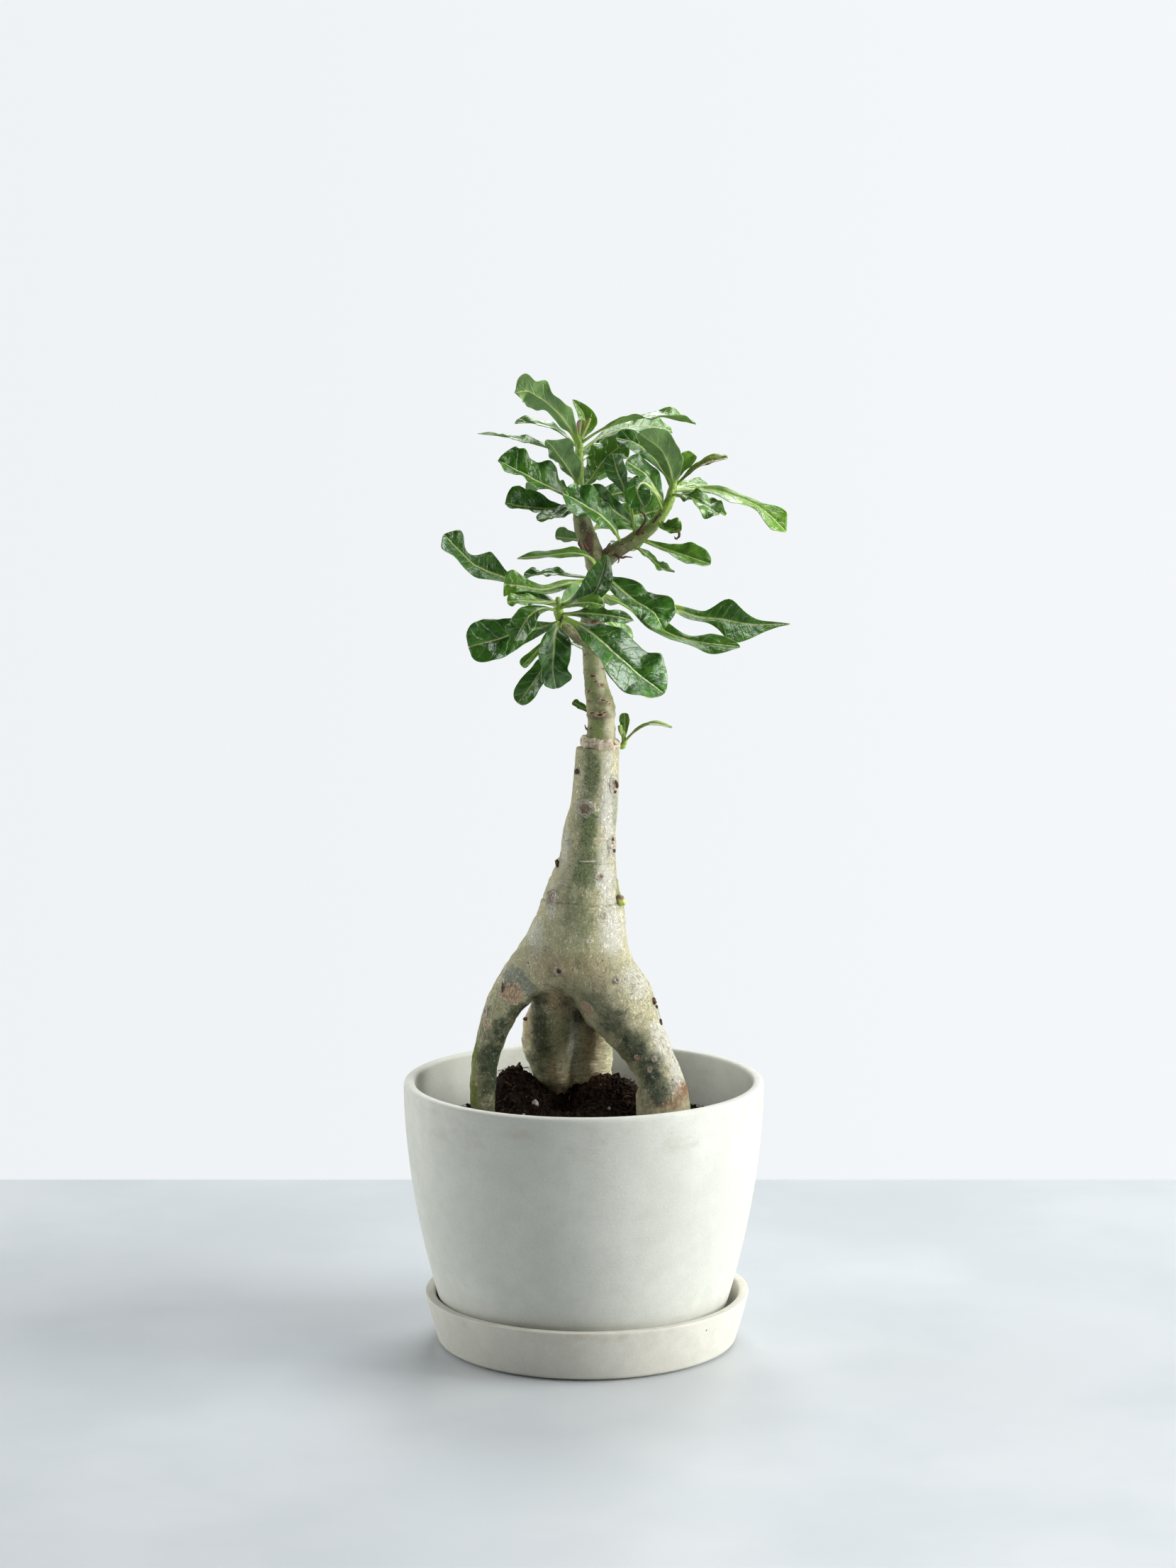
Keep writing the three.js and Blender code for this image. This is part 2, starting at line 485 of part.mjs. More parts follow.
const LEADER_STEM = [...onward(MAIN_WOOD, 3.4, 3), [-2.2, 0, 472, 3], [-2.5, 0, 485, 2.6],
  [-2.3, 0, 503, 1.9]];
const LEADER_LEAVES = [
  { path: [[-2.5, 0, 499], [-8, -9, 510], [-18, -16, 521.5], [-29, -20, 528.5], [-37, -22, 528]], width: 20,
    face: [0.45, 0.85, 0.3], wave: 2.2, waves: 3, fold: 8,
    edges: [[0.15, 0.35, 0.5, 0.6, 0.75, 0.9, 1, 0.9, 0.75, 0.35, 0],
      [0.15, 0.3, 0.45, 0.7, 0.75, 0.55, 0.95, 0.5, 1.1, 0.55, 0]] },
  { path: [[-2, 0, 501], [0.4, 5, 509], [0, 8, 516], [-6, 10, 523.6]], width: 14, face: [0.2, -1, 0.1],
    fold: 22, wave: 0.4, stalkLength: 0.05,
    edges: [[0.1, 0.3, 0.7, 1, 1, 0.75, 0.45, 0.2, 0], [0.1, 0.3, 0.4, 0.45, 0.5, 0.5, 0.4, 0.2, 0]] },
  { path: [[-2.2, 0, 501.5], [-1.6, -1.6, 507], [-0.9, -2.4, 513]], width: 6.5, face: [0.2, 1, 0.1],
    fold: 25, wave: 0, stalkLength: 0, edges: [[0, 0.3, 0.6, 0.85, 1, 0.6], [0, 0.3, 0.6, 0.85, 1, 0.7]] },
  { path: [[-2.2, 0, 501], [0.9, -2.6, 507.5], [3.6, -4.2, 513.8]], width: 2.8, face: [-0.5, 1, 0.1],
    fold: 20, wave: 0, stalkLength: 0 },
  { path: [[-2.3, 0, 499.5], [10, -5, 508], [25, -9, 513.3], [42, -12, 514.8], [60.5, -14, 511]],
    width: 15, face: [-0.2, -0.1, 1], wave: 2.4, stalkLength: 0.2 },
  { path: [[-2.4, 0, 495], [9, 7, 503], [22, 14, 507.5], [35, 19, 508.8], [48.5, 23, 506]], width: 15,
    face: [-0.1, -0.6, 0.8], wave: 1.8, stalkLength: 0.18 },
  { path: [[-2.4, 0, 497], [-12, 8, 505.5], [-24, 13, 510.5], [-37.5, 16, 511]], width: 11,
    face: [0.2, -0.3, 0.95], wave: 1, stalkLength: 0.2 },
  { path: [[-2.5, 0, 492], [-15, 2, 496.5], [-30, 3, 501], [-43, 4, 503.8], [-57.5, 4, 505.5]], width: 9,
    face: [0.1, -0.25, 1], wave: 1.2, stalkLength: 0.25,
    edges: [[0.2, 0.5, 0.8, 0.9, 0.9, 1, 0.7, 0.35, 0.2, 0],
      [0.2, 0.5, 0.7, 0.9, 1, 0.9, 0.8, 0.4, 0.2, 0]] },
  { path: [[-2.5, -1, 477], [-7.5, -8, 486], [-13, -11, 494], [-20, -13, 502.5]], width: 18,
    face: [0.55, 0.8, 0.2], fold: 18, wave: 1.6,
    edges: [[0.1, 0.4, 0.6, 0.75, 0.8, 0.8, 0.7, 0.6, 0.4], [0.1, 0.5, 0.8, 0.9, 0.95, 1.1, 1.2, 0.5, 0.1]] },
  { path: [[-2.2, 0, 470], [-14, -7, 474.5], [-26, -10, 480.5], [-36, -11, 486], [-45, -11, 490.5]],
    width: 25, face: [0.3, -0.7, 0.7], fold: 30, waves: 3,
    edges: [[0.1, 0.5, 0.85, 1, 0.85, 0.7, 0.95, 1, 0.6],
      [0.1, 0.35, 0.5, 0.65, 0.8, 0.55, 0.6, 0.75, 0.5]] },
  { path: [[-2.2, 0, 465.5], [-18, -5, 464.8], [-31, -8, 466], [-42.5, -10, 468]], width: 22,
    face: [0.1, -0.7, 0.75], fold: 36, wave: 1 },
  { path: [[-2, -1.5, 466.5], [-6, -12, 466.5], [-14, -20, 463], [-25, -24, 460]], width: 9,
    face: [0.2, -0.4, 0.9], wave: 0.8 },
  { path: [[-2, 0, 465.5], [-10, -1, 461.8], [-20, -2, 460]], width: 7, face: [0.1, -0.5, 0.9], wave: 0.5 },
  { path: [[-2.4, 0, 473], [4, 6, 481], [11.5, 10, 491], [23, 13, 500]], width: 21,
    face: [-0.5, -0.75, 0.3], wave: 2 },
  { path: [[-2.3, 1, 489], [3, 14, 494], [12, 22, 498], [24, 28, 500]], width: 12,
    face: [-0.2, -0.7, 0.7], wave: 1.2 },
  { path: [[-2.2, 0, 468], [10, 7, 470.5], [21, 12, 472.8], [32, 15, 476]], width: 15,
    face: [-0.1, -0.85, 0.5], wave: 1 },
  { path: [[-2.3, 1, 484], [-5, 18, 491], [-7, 35, 493], [-8, 50, 489]], width: 18, face: [0, -0.3, 0.95] },
  { path: [[-2.3, 1, 477], [3, 20, 482], [7, 38, 483], [9, 54, 478]], width: 18, face: [0, -0.3, 0.95] },
  { path: [[-2.2, 1, 470], [-12, 14, 475], [-21, 27, 476], [-28, 38, 472]], width: 16,
    face: [0.1, -0.3, 0.95] },
];

// Right shoot

const RIGHT_STEM = [...onward(RIGHT_WOOD, 3.2, 2.5), [41.5, -4.6, 460.5, 3], [45.5, -4.4, 467, 2.8],
  [48, -4, 474, 2.5], [49.5, -4, 480, 1.7]];
const RIGHT_LEAVES = [
  { path: [[49, -4, 476], [47, -8, 486.5], [42, -11, 497], [30.5, -13, 506]], width: 18,
    face: [0.4, 0.85, 0.3], wave: 1.2,
    edges: [[0.1, 0.35, 0.6, 0.75, 0.85, 0.9, 0.9, 0.8, 0.5],
      [0.1, 0.4, 0.7, 0.95, 1.05, 1.05, 1, 0.85, 0.5]] },
  { path: [[48.5, -4, 474], [43.5, 0, 485], [36, 2, 494.5], [27, 2, 500.5], [17.5, 1, 503]], width: 13,
    face: [-0.3, -0.7, 0.6], wave: 1, stalkLength: 0.2 },
  { path: [[44.5, -4, 465.5], [39.5, -8, 475], [33, -11, 484], [23, -13, 491]], width: 15,
    face: [-0.3, -0.6, 0.75], wave: 1.4 },
  { path: [[43, -5, 463.5], [38.5, -13, 474], [32.5, -18, 479.5], [29, -21, 475], [32.5, -22.5, 467]],
    width: 15, face: [0.1, -0.5, 0.85], tipFace: [-0.2, -0.98, -0.1], wave: 0.8, stalkLength: 0.3 },
  { path: [[49.3, -4, 478.5], [53.5, -1, 486], [60.5, 0, 494]], width: 11, face: [-0.5, -0.8, 0.3],
    fold: 30, wave: 0.6, stalkLength: 0.1, taper: 0.3 },
  { path: [[49.3, -4, 478.5], [51, -5.6, 483], [52, -6.2, 489]], width: 3.2, face: [-0.3, 1, 0.1],
    fold: 22, wave: 0, stalkLength: 0 },
  { path: [[49, -4, 476.5], [57.5, -6, 484.5], [66.5, -8, 490.3], [78, -9, 492.8]], width: 8.5,
    face: [-0.4, -0.45, 0.8], wave: 0.5 },
  { path: [[48, -4.5, 472.5], [55, -15, 472.5], [63, -23, 469], [72.5, -28, 463]], width: 15,
    face: [0.1, -0.5, 0.85], wave: 3.6, waves: 2 },
  { path: [[48, -3.5, 472], [58, -3, 471.2], [67, -5, 468.5], [77, -8, 461.5]], width: 9,
    face: [0.1, -0.4, 0.9], wave: 1.4 },
  { path: [[48.4, -4, 474.5], [62, -3, 475.6], [78, -3, 473], [95, -4, 466], [110, -5, 452.5]], width: 17,
    face: [0.1, -0.45, 0.9], tipFace: [0.5, -0.85, 0.4], wave: 1.6, waves: 2, phase: 1, stalkLength: 0.22,
    edges: [[0.15, 0.25, 0.35, 0.65, 1.1, 0.85, 0.3, 0.3, 0.85, 1, 0.3],
      [0.15, 0.2, 0.25, 0.3, 0.3, 0.3, 0.25, 0.3, 0.8, 0.95, 0.3]] },
  { path: [[48.4, -4, 474.5], [57, 6, 477.5], [68, 11, 477]], width: 9, face: [0, -0.5, 0.85], wave: 0.8 },
  { path: [[41, -4.4, 460], [43, -9, 455.5], [48, -12, 454.5], [53, -13, 454]], width: 12,
    face: [0.1, -0.8, 0.6], fold: 34, wave: 0.8 },
  { path: [[47.5, -3, 471], [52, 14, 475], [57, 30, 475], [61, 43, 470]], width: 16,
    face: [-0.1, -0.3, 0.95] },
];

// Left shoot

const LEFT_STEM = [...onward(SPUR_WOOD, 3, 2.5), [-13, -21, 408.5, 2.8], [-13.6, -22, 413, 2.4],
  [-13.8, -22, 417, 1.6]];
const LEFT_LEAVES = [
  { path: [[-13.5, -21.5, 413], [-25, -8, 419.5], [-42, -6, 427], [-57, -6, 433], [-67, -7, 442],
    [-76, -7, 451]],
    width: 21, face: [0.35, -0.8, 0.5], wave: 1.4, stalkLength: 0.3,
    edges: [[0.1, 0.2, 0.3, 0.8, 1.1, 0.9, 0.4, 0.15, 0.3, 0.7, 0.8, 0.3],
      [0.1, 0.2, 0.3, 0.45, 0.6, 0.6, 0.65, 0.65, 0.6, 0.75, 0.8, 0.3]] },
  { path: [[-13.6, -21, 412], [-11, -17, 415], [-6, -14, 418], [-1, -12, 420.5]], width: 15,
    face: [0.15, 0.75, 0.6], wave: 0.4, fold: 4, stalkLength: 0 },
  { path: [[-13.5, -21.5, 412.5], [-3, -28, 417], [5.5, -31, 421.5], [10, -31, 431], [12.5, -31, 441.5]],
    width: 18, face: [-0.25, -0.95, 0.25], fold: 26, wave: 1 },
  { path: [[-13.5, -21.5, 412.5], [-22, -15, 416], [-31, -12, 418.5], [-41, -11, 418]], width: 13,
    face: [0.1, -0.8, 0.55], wave: 1 },
  { path: [[-13.8, -22, 415.5], [-24, -29, 416], [-33, -31, 417], [-41, -32, 416.3]], width: 10,
    face: [0.1, -0.6, 0.8], wave: 1.2 },
  { path: [[-13.5, -21.5, 411], [-22, -31, 412.5], [-29, -35, 409], [-33.5, -36, 402.5], [-37, -35, 396]],
    width: 16, face: [0.2, -0.5, 0.85], tipFace: [-0.5, -0.85, 0.1], wave: 1.4 },
  { path: [[-11.5, -19, 405.5], [-22, -23, 402], [-36, -26, 399], [-48, -27.5, 395.5], [-61, -28, 392]],
    width: 24, face: [0.1, -0.92, 0.35], wave: 1.2, taper: 0.34 },
  { path: [[-12, -20, 406.5], [-15, -28, 400], [-16, -31, 389], [-16.5, -31, 379], [-15, -29, 370]],
    width: 19.5, face: [0.1, -0.98, -0.1], wave: 1.4,
    edges: [[0.1, 0.3, 0.6, 0.85, 0.95, 0.85, 0.55, 0.65, 0.6, 0.2],
      [0.1, 0.4, 0.75, 0.95, 1, 0.95, 0.75, 1, 1, 0.3]] },
  { path: [[-11, -17.5, 404.5], [-19, -19, 396], [-27, -20, 387], [-33.5, -20, 380.5]], width: 6,
    face: [-0.2, -0.8, 0.5], wave: 0.4, stalkLength: 0.4 },
  { path: [[-11, -18, 404.5], [-16.5, -23.5, 394], [-20, -25, 384], [-26, -26, 374], [-35.5, -26, 361]],
    width: 13, face: [-0.3, -0.9, 0.3], wave: 0.8, stalkLength: 0.3 },
  { path: [[-13, -21, 412], [-5, -34, 415.5], [3, -38, 416.5], [10.5, -40, 415.5]], width: 9,
    face: [0, -0.75, 0.65], wave: 0.6 },
  { path: [[-12.8, -20.8, 408.5], [-2, -31, 410], [8, -35, 410], [17, -37, 409], [27, -38, 407]], width: 11.5,
    face: [0, -0.8, 0.6], wave: 1.2, waves: 3,
    edges: [[0.1, 0.2, 0.5, 0.8, 0.8, 0.9, 0.9, 0.7, 0.5, 0],
      [0.1, 0.2, 0.45, 0.9, 1, 0.3, 0.5, 0.85, 0.4, 0]] },
  { path: [[-12, -20, 407], [3, -37, 401], [15.5, -48, 391.5], [29, -56, 380], [43.5, -60, 369.5]], width: 32,
    face: [0.25, -0.75, 0.65], wave: 2.2, fold: 10,
    edges: [[0.1, 0.3, 0.5, 0.68, 0.78, 0.88, 0.98, 1, 0.85, 0.3],
      [0.1, 0.35, 0.65, 0.85, 0.9, 0.8, 0.95, 0.85, 0.5, 0.1]] },
];

// Graft sprout

const SPROUT_STEM = [[CALLUS.x + CALLUS.radius + GAP, 0, 334.4, 1.5], [21.4, 0, 334.4, 1.6],
  [22.2, 0, 336.6, 1.5], [22, 0, 340, 1.2], [21.5, 0, 343, 0.9]];
const SPROUT_LEAVES = [
  { path: [[22, 0, 337.5], [22.6, 3, 345], [22.6, 4, 352.5]], width: 6, face: [-0.3, -0.9, 0.2], wave: 0.4 },
  { path: [[22, 0, 336.5], [28, -3, 343], [37, -5, 347.5], [48.5, -6, 345.5]], width: 5,
    face: [-0.2, -0.3, 0.95], wave: 0.3 },
  { path: [[21.7, 0, 340], [20.4, -1.6, 343], [19.9, -2, 346.5]], width: 2.6, face: [0, 1, 0.1], wave: 0,
    stalkLength: 0 },
];

// The whole object

const group = new THREE.Group();

function addPiece(name, geometry, look) {
  const mesh = new THREE.Mesh(geometry, new THREE.MeshStandardMaterial({ ...look, metalness: 0 }));
  mesh.name = name;
  group.add(mesh);
}

function leafyShoot(stemPoints, leaves) {
  return geometryOf(joined([stem(stemPoints, SIDES.shoot), ...leaves.map(leaf)]));
}

const sideWood = [RIGHT_WOOD, SPUR_WOOD].map((points) => stem(points, SIDES.wood));
const woodStems = [stem(MAIN_WOOD, SIDES.mainWood), ...sideWood];

addPiece('saucer', saucerGeometry(), LOOKS.pot);
addPiece('pot', potGeometry(), LOOKS.pot);
addPiece('soil', geometryOf(soilSolid()), LOOKS.soil);
addPiece('rootstock', geometryOf(rootstockSolid()), LOOKS.bark);
addPiece('stem', geometryOf(joined([...woodStems, ...WOOD_LEAVES.map(leaf)])), LOOKS.wood);
addPiece('leader_shoot', leafyShoot(LEADER_STEM, LEADER_LEAVES), LOOKS.leaderLeaf);
addPiece('right_shoot', leafyShoot(RIGHT_STEM, RIGHT_LEAVES), LOOKS.rightLeaf);
addPiece('left_shoot', leafyShoot(LEFT_STEM, LEFT_LEAVES), LOOKS.leftLeaf);
addPiece('graft_sprout', leafyShoot(SPROUT_STEM, SPROUT_LEAVES), LOOKS.sproutLeaf);

export default group;
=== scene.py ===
# Potted desert rose (adenium): a grafted plant in a matte composite pot on its saucer.
# Lengths are in millimetres until a mesh is made. The pot's axis is Z, the viewer is at -Y.

import itertools
import math

import bmesh
import bpy
import numpy as np
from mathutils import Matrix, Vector, noise


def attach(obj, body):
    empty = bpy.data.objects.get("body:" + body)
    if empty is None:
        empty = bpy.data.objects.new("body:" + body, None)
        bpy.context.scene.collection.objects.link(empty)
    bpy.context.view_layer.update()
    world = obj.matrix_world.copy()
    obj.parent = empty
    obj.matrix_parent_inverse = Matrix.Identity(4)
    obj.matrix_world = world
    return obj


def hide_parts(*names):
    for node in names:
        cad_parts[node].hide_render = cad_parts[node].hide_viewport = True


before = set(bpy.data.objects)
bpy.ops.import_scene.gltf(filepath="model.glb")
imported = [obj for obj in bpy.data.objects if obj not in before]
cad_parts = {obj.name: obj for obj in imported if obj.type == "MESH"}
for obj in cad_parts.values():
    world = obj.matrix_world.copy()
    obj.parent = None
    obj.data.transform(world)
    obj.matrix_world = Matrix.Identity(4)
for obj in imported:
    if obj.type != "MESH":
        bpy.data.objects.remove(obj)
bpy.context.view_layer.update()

# Camera
# The plant is seen from the front through a long lens, from a little above the pot's rim. Camera
# lengths are in metres.

EYE = (0.0024, -1.893, 0.5655)
LOOKS_DOWN = 7.58
SENSOR_WIDTH, LENS = 36, 79.75

camera = bpy.data.objects.new("camera", bpy.data.cameras.new("camera"))
bpy.context.scene.collection.objects.link(camera)
camera.location = EYE
camera.rotation_euler = (math.radians(90 - LOOKS_DOWN), 0, 0)
camera.data.sensor_width = SENSOR_WIDTH
camera.data.lens = LENS
bpy.context.scene.camera = camera

# Table and room
# A thick table board, painted pale grey with a smooth satin surface. It ends behind the pot, and the
# pale room beyond it is only seen.

MM = 0.001
TABLE_LEFT, TABLE_RIGHT, TABLE_FRONT, TABLE_BACK, TABLE_THICK = -3000, 3000, -3000, 362, 30
PAINT_SHADE, PAINT_LIGHT = (0.505, 0.54, 0.565), (0.555, 0.585, 0.605)
BOX_FACES = [(0, 2, 3, 1), (4, 5, 7, 6), (0, 1, 5, 4), (2, 6, 7, 3), (0, 4, 6, 2), (1, 3, 7, 5)]


def add(tree, kind, inputs=None, **settings):
    """A shader node, with its settings, and its inputs linked or given plain values."""
    made = tree.nodes.new("ShaderNode" + kind)
    for setting, value in settings.items():
        setattr(made, setting, value)
    for socket, value in (inputs or {}).items():
        if isinstance(value, bpy.types.NodeSocket):
            tree.links.new(value, made.inputs[socket])
        else:
            made.inputs[socket].default_value = value
    return made


def between(tree, value, low, high, start=0.0, end=1.0):
    """A value eased from start to end as it goes from low to high."""
    inputs = {"Value": value, "From Min": low, "From Max": high, "To Min": start, "To Max": end}
    return add(tree, "MapRange", inputs, interpolation_type="SMOOTHSTEP").outputs["Result"]


def mixed(tree, share, first, second, how="MIX"):
    """Two colours mixed."""
    made = add(tree, "Mix", data_type="RGBA", blend_type=how)
    for socket, value in ((0, share), (6, first), (7, second)):
        if isinstance(value, bpy.types.NodeSocket):
            tree.links.new(value, made.inputs[socket])
        else:
            made.inputs[socket].default_value = (*value, 1) if socket else value
    return made.outputs[2]


def new_effect(name, inputs, outputs):
    """A new node group with named inputs and outputs: its tree, what it is given and what it gives."""
    tree = bpy.data.node_groups.new(name, "ShaderNodeTree")
    for label, kind in inputs.items():
        tree.interface.new_socket(label, in_out="INPUT", socket_type="NodeSocket" + kind)
    for label in outputs:
        tree.interface.new_socket(label, in_out="OUTPUT", socket_type="NodeSocketFloat")
    return tree, tree.nodes.new("NodeGroupInput").outputs, tree.nodes.new("NodeGroupOutput").inputs


def cloud_nodes(tree, place, size, detail, rough, bend=0.0):
    """The nodes of cloudy noise from 0 to 1, with features of a size in millimetres along each axis."""
    scaled = add(tree, "VectorMath", {0: place, 1: size}, operation="DIVIDE").outputs[0]
    inputs = {"Vector": scaled, "Scale": 1, "Detail": detail, "Roughness": rough, "Distortion": bend}
    return add(tree, "TexNoise", inputs).outputs["Fac"]


def clouds_effect():
    """Cloudy noise as an effect that every finish can use."""
    inputs = {"Place": "Vector", "Size": "Vector", "Detail": "Float", "Rough": "Float", "Bend": "Float"}
    tree, given, result = new_effect("clouds", inputs, ["Amount"])
    cloud = cloud_nodes(tree, *[given[label] for label in inputs])
    tree.links.new(cloud, result["Amount"])
    return tree


CLOUDS = clouds_effect()


def clouds(tree, place, size, detail=3.0, rough=0.55, stretch=(1, 1, 1), bend=0.0):
    """Cloudy noise in a material, with features of a size in millimetres that are stretched by axis."""
    sizes = [size * along for along in stretch]
    inputs = {"Place": place, "Size": sizes, "Detail": detail, "Rough": rough, "Bend": bend}
    return add(tree, "Group", inputs, node_tree=CLOUDS).outputs["Amount"]


def two_toned(tree, place, size, first, second, detail=3.0, rough=0.55, low=0.35):
    """A colour that drifts between two tones in cloudy areas of a size in millimetres."""
    return mixed(tree, between(tree, clouds(tree, place, size, detail, rough), low, 1 - low), first, second)


def bumped(tree, height, depth, normal=None):
    """A normal from a height of 0 to 1 that stands for depth millimetres."""
    inputs = {"Height": height, "Strength": 1, "Distance": depth * MM}
    if normal is not None:
        inputs["Normal"] = normal
    return add(tree, "Bump", inputs).outputs["Normal"]


def new_finish(name):
    """A material with its tree, its surface shader and the piece's own coordinates in millimetres."""
    made = bpy.data.materials.new(name)
    made.use_nodes = True
    tree = made.node_tree
    own = add(tree, "TexCoord").outputs["Object"]
    place = add(tree, "VectorMath", {0: own, "Scale": 1 / MM}, operation="SCALE").outputs[0]
    return made, tree, tree.nodes["Principled BSDF"], place


def wire(tree, shader, **sockets):
    """Links values to the shader's sockets, or sets them. An underscore stands for a space."""
    for name, value in sockets.items():
        socket = shader.inputs[name.replace("_", " ")]
        if isinstance(value, bpy.types.NodeSocket):
            tree.links.new(value, socket)
        else:
            socket.default_value = value


def mesh_piece(name, points, faces, material, smooth=True):
    """A mesh object from points in millimetres."""
    mesh = bpy.data.meshes.new(name)
    mesh.from_pydata((np.asarray(points, float) * MM).tolist(), [], faces)
    mesh.validate()
    mesh.polygons.foreach_set("use_smooth", [smooth] * len(mesh.polygons))
    mesh.materials.append(material)
    made = bpy.data.objects.new(name, mesh)
    bpy.context.scene.collection.objects.link(made)
    return made


paint, tree, shader, place = new_finish("table paint")
color = two_toned(tree, place, 180, PAINT_SHADE, PAINT_LIGHT, 4)
wire(tree, shader, Base_Color=color, Roughness=0.42, Normal=bumped(tree, clouds(tree, place, 0.8, 2), 0.02))

corners = [(x, y, z) for z in (-TABLE_THICK, 0) for y in (TABLE_FRONT, TABLE_BACK)
           for x in (TABLE_LEFT, TABLE_RIGHT)]
table = mesh_piece("table", corners, BOX_FACES, paint, smooth=False)

# Light
# Daylight from a wide window on the right, softened by pale walls behind, above and on the left. The
# side toward the viewer stays dim, so that round forms turn dark just left of their middle.

WALL_TINT = (0.955, 0.98, 1.0, 1)
WALL_LEFT, WALL_RIGHT, WALL_GLOW = 0.905, 0.955, 0.07
# Each soft light: its name, place in metres, size, watts and colour.
LIGHTS = [("window_side", (2.0, -0.15, 0.9), 1.2, 49, (1.0, 1.0, 0.985)),
          ("window_front", (1.75, -1.0, 0.9), 1.2, 26, (1.0, 1.0, 0.985)),
          ("ceiling", (0.9, 0.1, 1.9), 1.0, 6, (1.0, 1.0, 1.0)),
          ("ceiling_sheen", (0.45, -0.2, 1.7), 0.75, 17, (0.95, 0.98, 1.0)),
          ("wall_behind", (0.2, 1.2, 1.7), 1.0, 26, (0.97, 0.99, 1.0)),
          ("wall_left", (-2.0, 0.2, 0.7), 1.2, 26, (0.98, 0.985, 0.97)),
          ("wall_left_behind", (-1.6, 1.2, 0.9), 1.2, 12, (0.95, 0.985, 1.0))]
AIM = (0, 0, 0.25)

room = bpy.data.worlds.new("room")
room.use_nodes = True
bpy.context.scene.world = room
tree = room.node_tree
walls = tree.nodes["Background"]
way = add(tree, "SeparateXYZ", {"Vector": add(tree, "TexCoord").outputs["Generated"]}).outputs
wall_level = between(tree, way["X"], -0.25, 0.25, WALL_LEFT, WALL_RIGHT)
seen = add(tree, "LightPath").outputs["Is Camera Ray"]
level = add(tree, "Mix", {0: seen, 2: WALL_GLOW, 3: wall_level}, data_type="FLOAT").outputs[0]
walls.inputs["Color"].default_value = WALL_TINT
tree.links.new(level, walls.inputs["Strength"])
bpy.context.scene.view_settings.view_transform = "Standard"

for name, where, size, watts, tint in LIGHTS:
    light = bpy.data.lights.new(name, "AREA")
    light.shape = "SQUARE"
    light.size = size
    light.energy = watts
    light.color = tint
    lamp = bpy.data.objects.new(name, light)
    lamp.location = where
    lamp.rotation_euler = (Vector(AIM) - Vector(where)).to_track_quat("-Z", "Y").to_euler()
    lamp.visible_camera = False
    lamp.visible_diffuse = not name.endswith("sheen")
    bpy.context.scene.collection.objects.link(lamp)

# Saucer
# A shallow round dish of the same pale moulded composite as the pot, with a flat foot and a
# flat-topped wall. The pot stands in it a little off its centre.

SAUCER = {"rim": 90.6, "foot": 83.5, "well": 78.3, "wall": 5.8, "top": 29, "floor": 6, "disc": 79,
          "step": 1.2, "shift": 1.8}
SAUCER_PALE, SAUCER_DEEP, SAUCER_SMUDGE = (0.66, 0.645, 0.575), (0.56, 0.55, 0.485), (0.40, 0.31, 0.20)
PIT_SHADOW = (0.07, 0.06, 0.045)
ROUND_STEPS = 192


def rounded(outline, steps=4):
    """A closed outline of [radius, height, corner] points, with each corner rounded by its own radius."""
    drawn = []
    for i, (x, z, corner) in enumerate(outline):
        here = Vector((x, z))
        before = Vector(outline[i - 1][:2])
        after = Vector(outline[(i + 1) % len(outline)][:2])
        if corner == 0:
            drawn.append(here)
            continue
        reach_in = min(corner, (before - here).length * 0.45)
        reach_out = min(corner, (after - here).length * 0.45)
        start = here + (before - here).normalized() * reach_in
        end = here + (after - here).normalized() * reach_out
        for k in range(steps + 1):
            s = k / steps
            drawn.append(start * (1 - s) ** 2 + here * (2 * s * (1 - s)) + end * s ** 2)
    return drawn


def turned(outline, shift=0.0):
    """Points and faces of a shape turned about the Z axis. Points at radius 0 close its middle."""
    points = []
    rows = []
    for x, z in outline:
        if x < 1e-6:
            rows.append([len(points)] * ROUND_STEPS)
            points.append((shift, 0, z))
            continue
        rows.append(list(range(len(points), len(points) + ROUND_STEPS)))
        for k in range(ROUND_STEPS):
            turn = 2 * math.pi * k / ROUND_STEPS
            points.append((shift + x * math.cos(turn), x * math.sin(turn), z))
    faces = []
    for lower, upper in zip(rows, rows[1:] + rows[:1]):
        for k in range(ROUND_STEPS):
            after = (k + 1) % ROUND_STEPS
            face = tuple(dict.fromkeys((lower[k], lower[after], upper[after], upper[k])))
            if len(face) > 2:
                faces.append(face)
    return points, faces


def calc(tree, operation, *values):
    """The result of one sum."""
    return add(tree, "Math", dict(enumerate(values)), operation=operation).outputs[0]


def product(tree, first, *others):
    """Masks or values multiplied together."""
    for other in others:
        first = calc(tree, "MULTIPLY", first, other)
    return first


def laid(tree, color, tint, mask, share=1.0):
    """A colour with a share of a tint laid over it where a mask shows."""
    if share != 1:
        mask = calc(tree, "MULTIPLY", mask, share)
    return mixed(tree, mask, color, tint)


def toned(tint, share):
    """A colour made darker, or lighter up to white."""
    return tuple(min(part * share, 1) for part in tint)


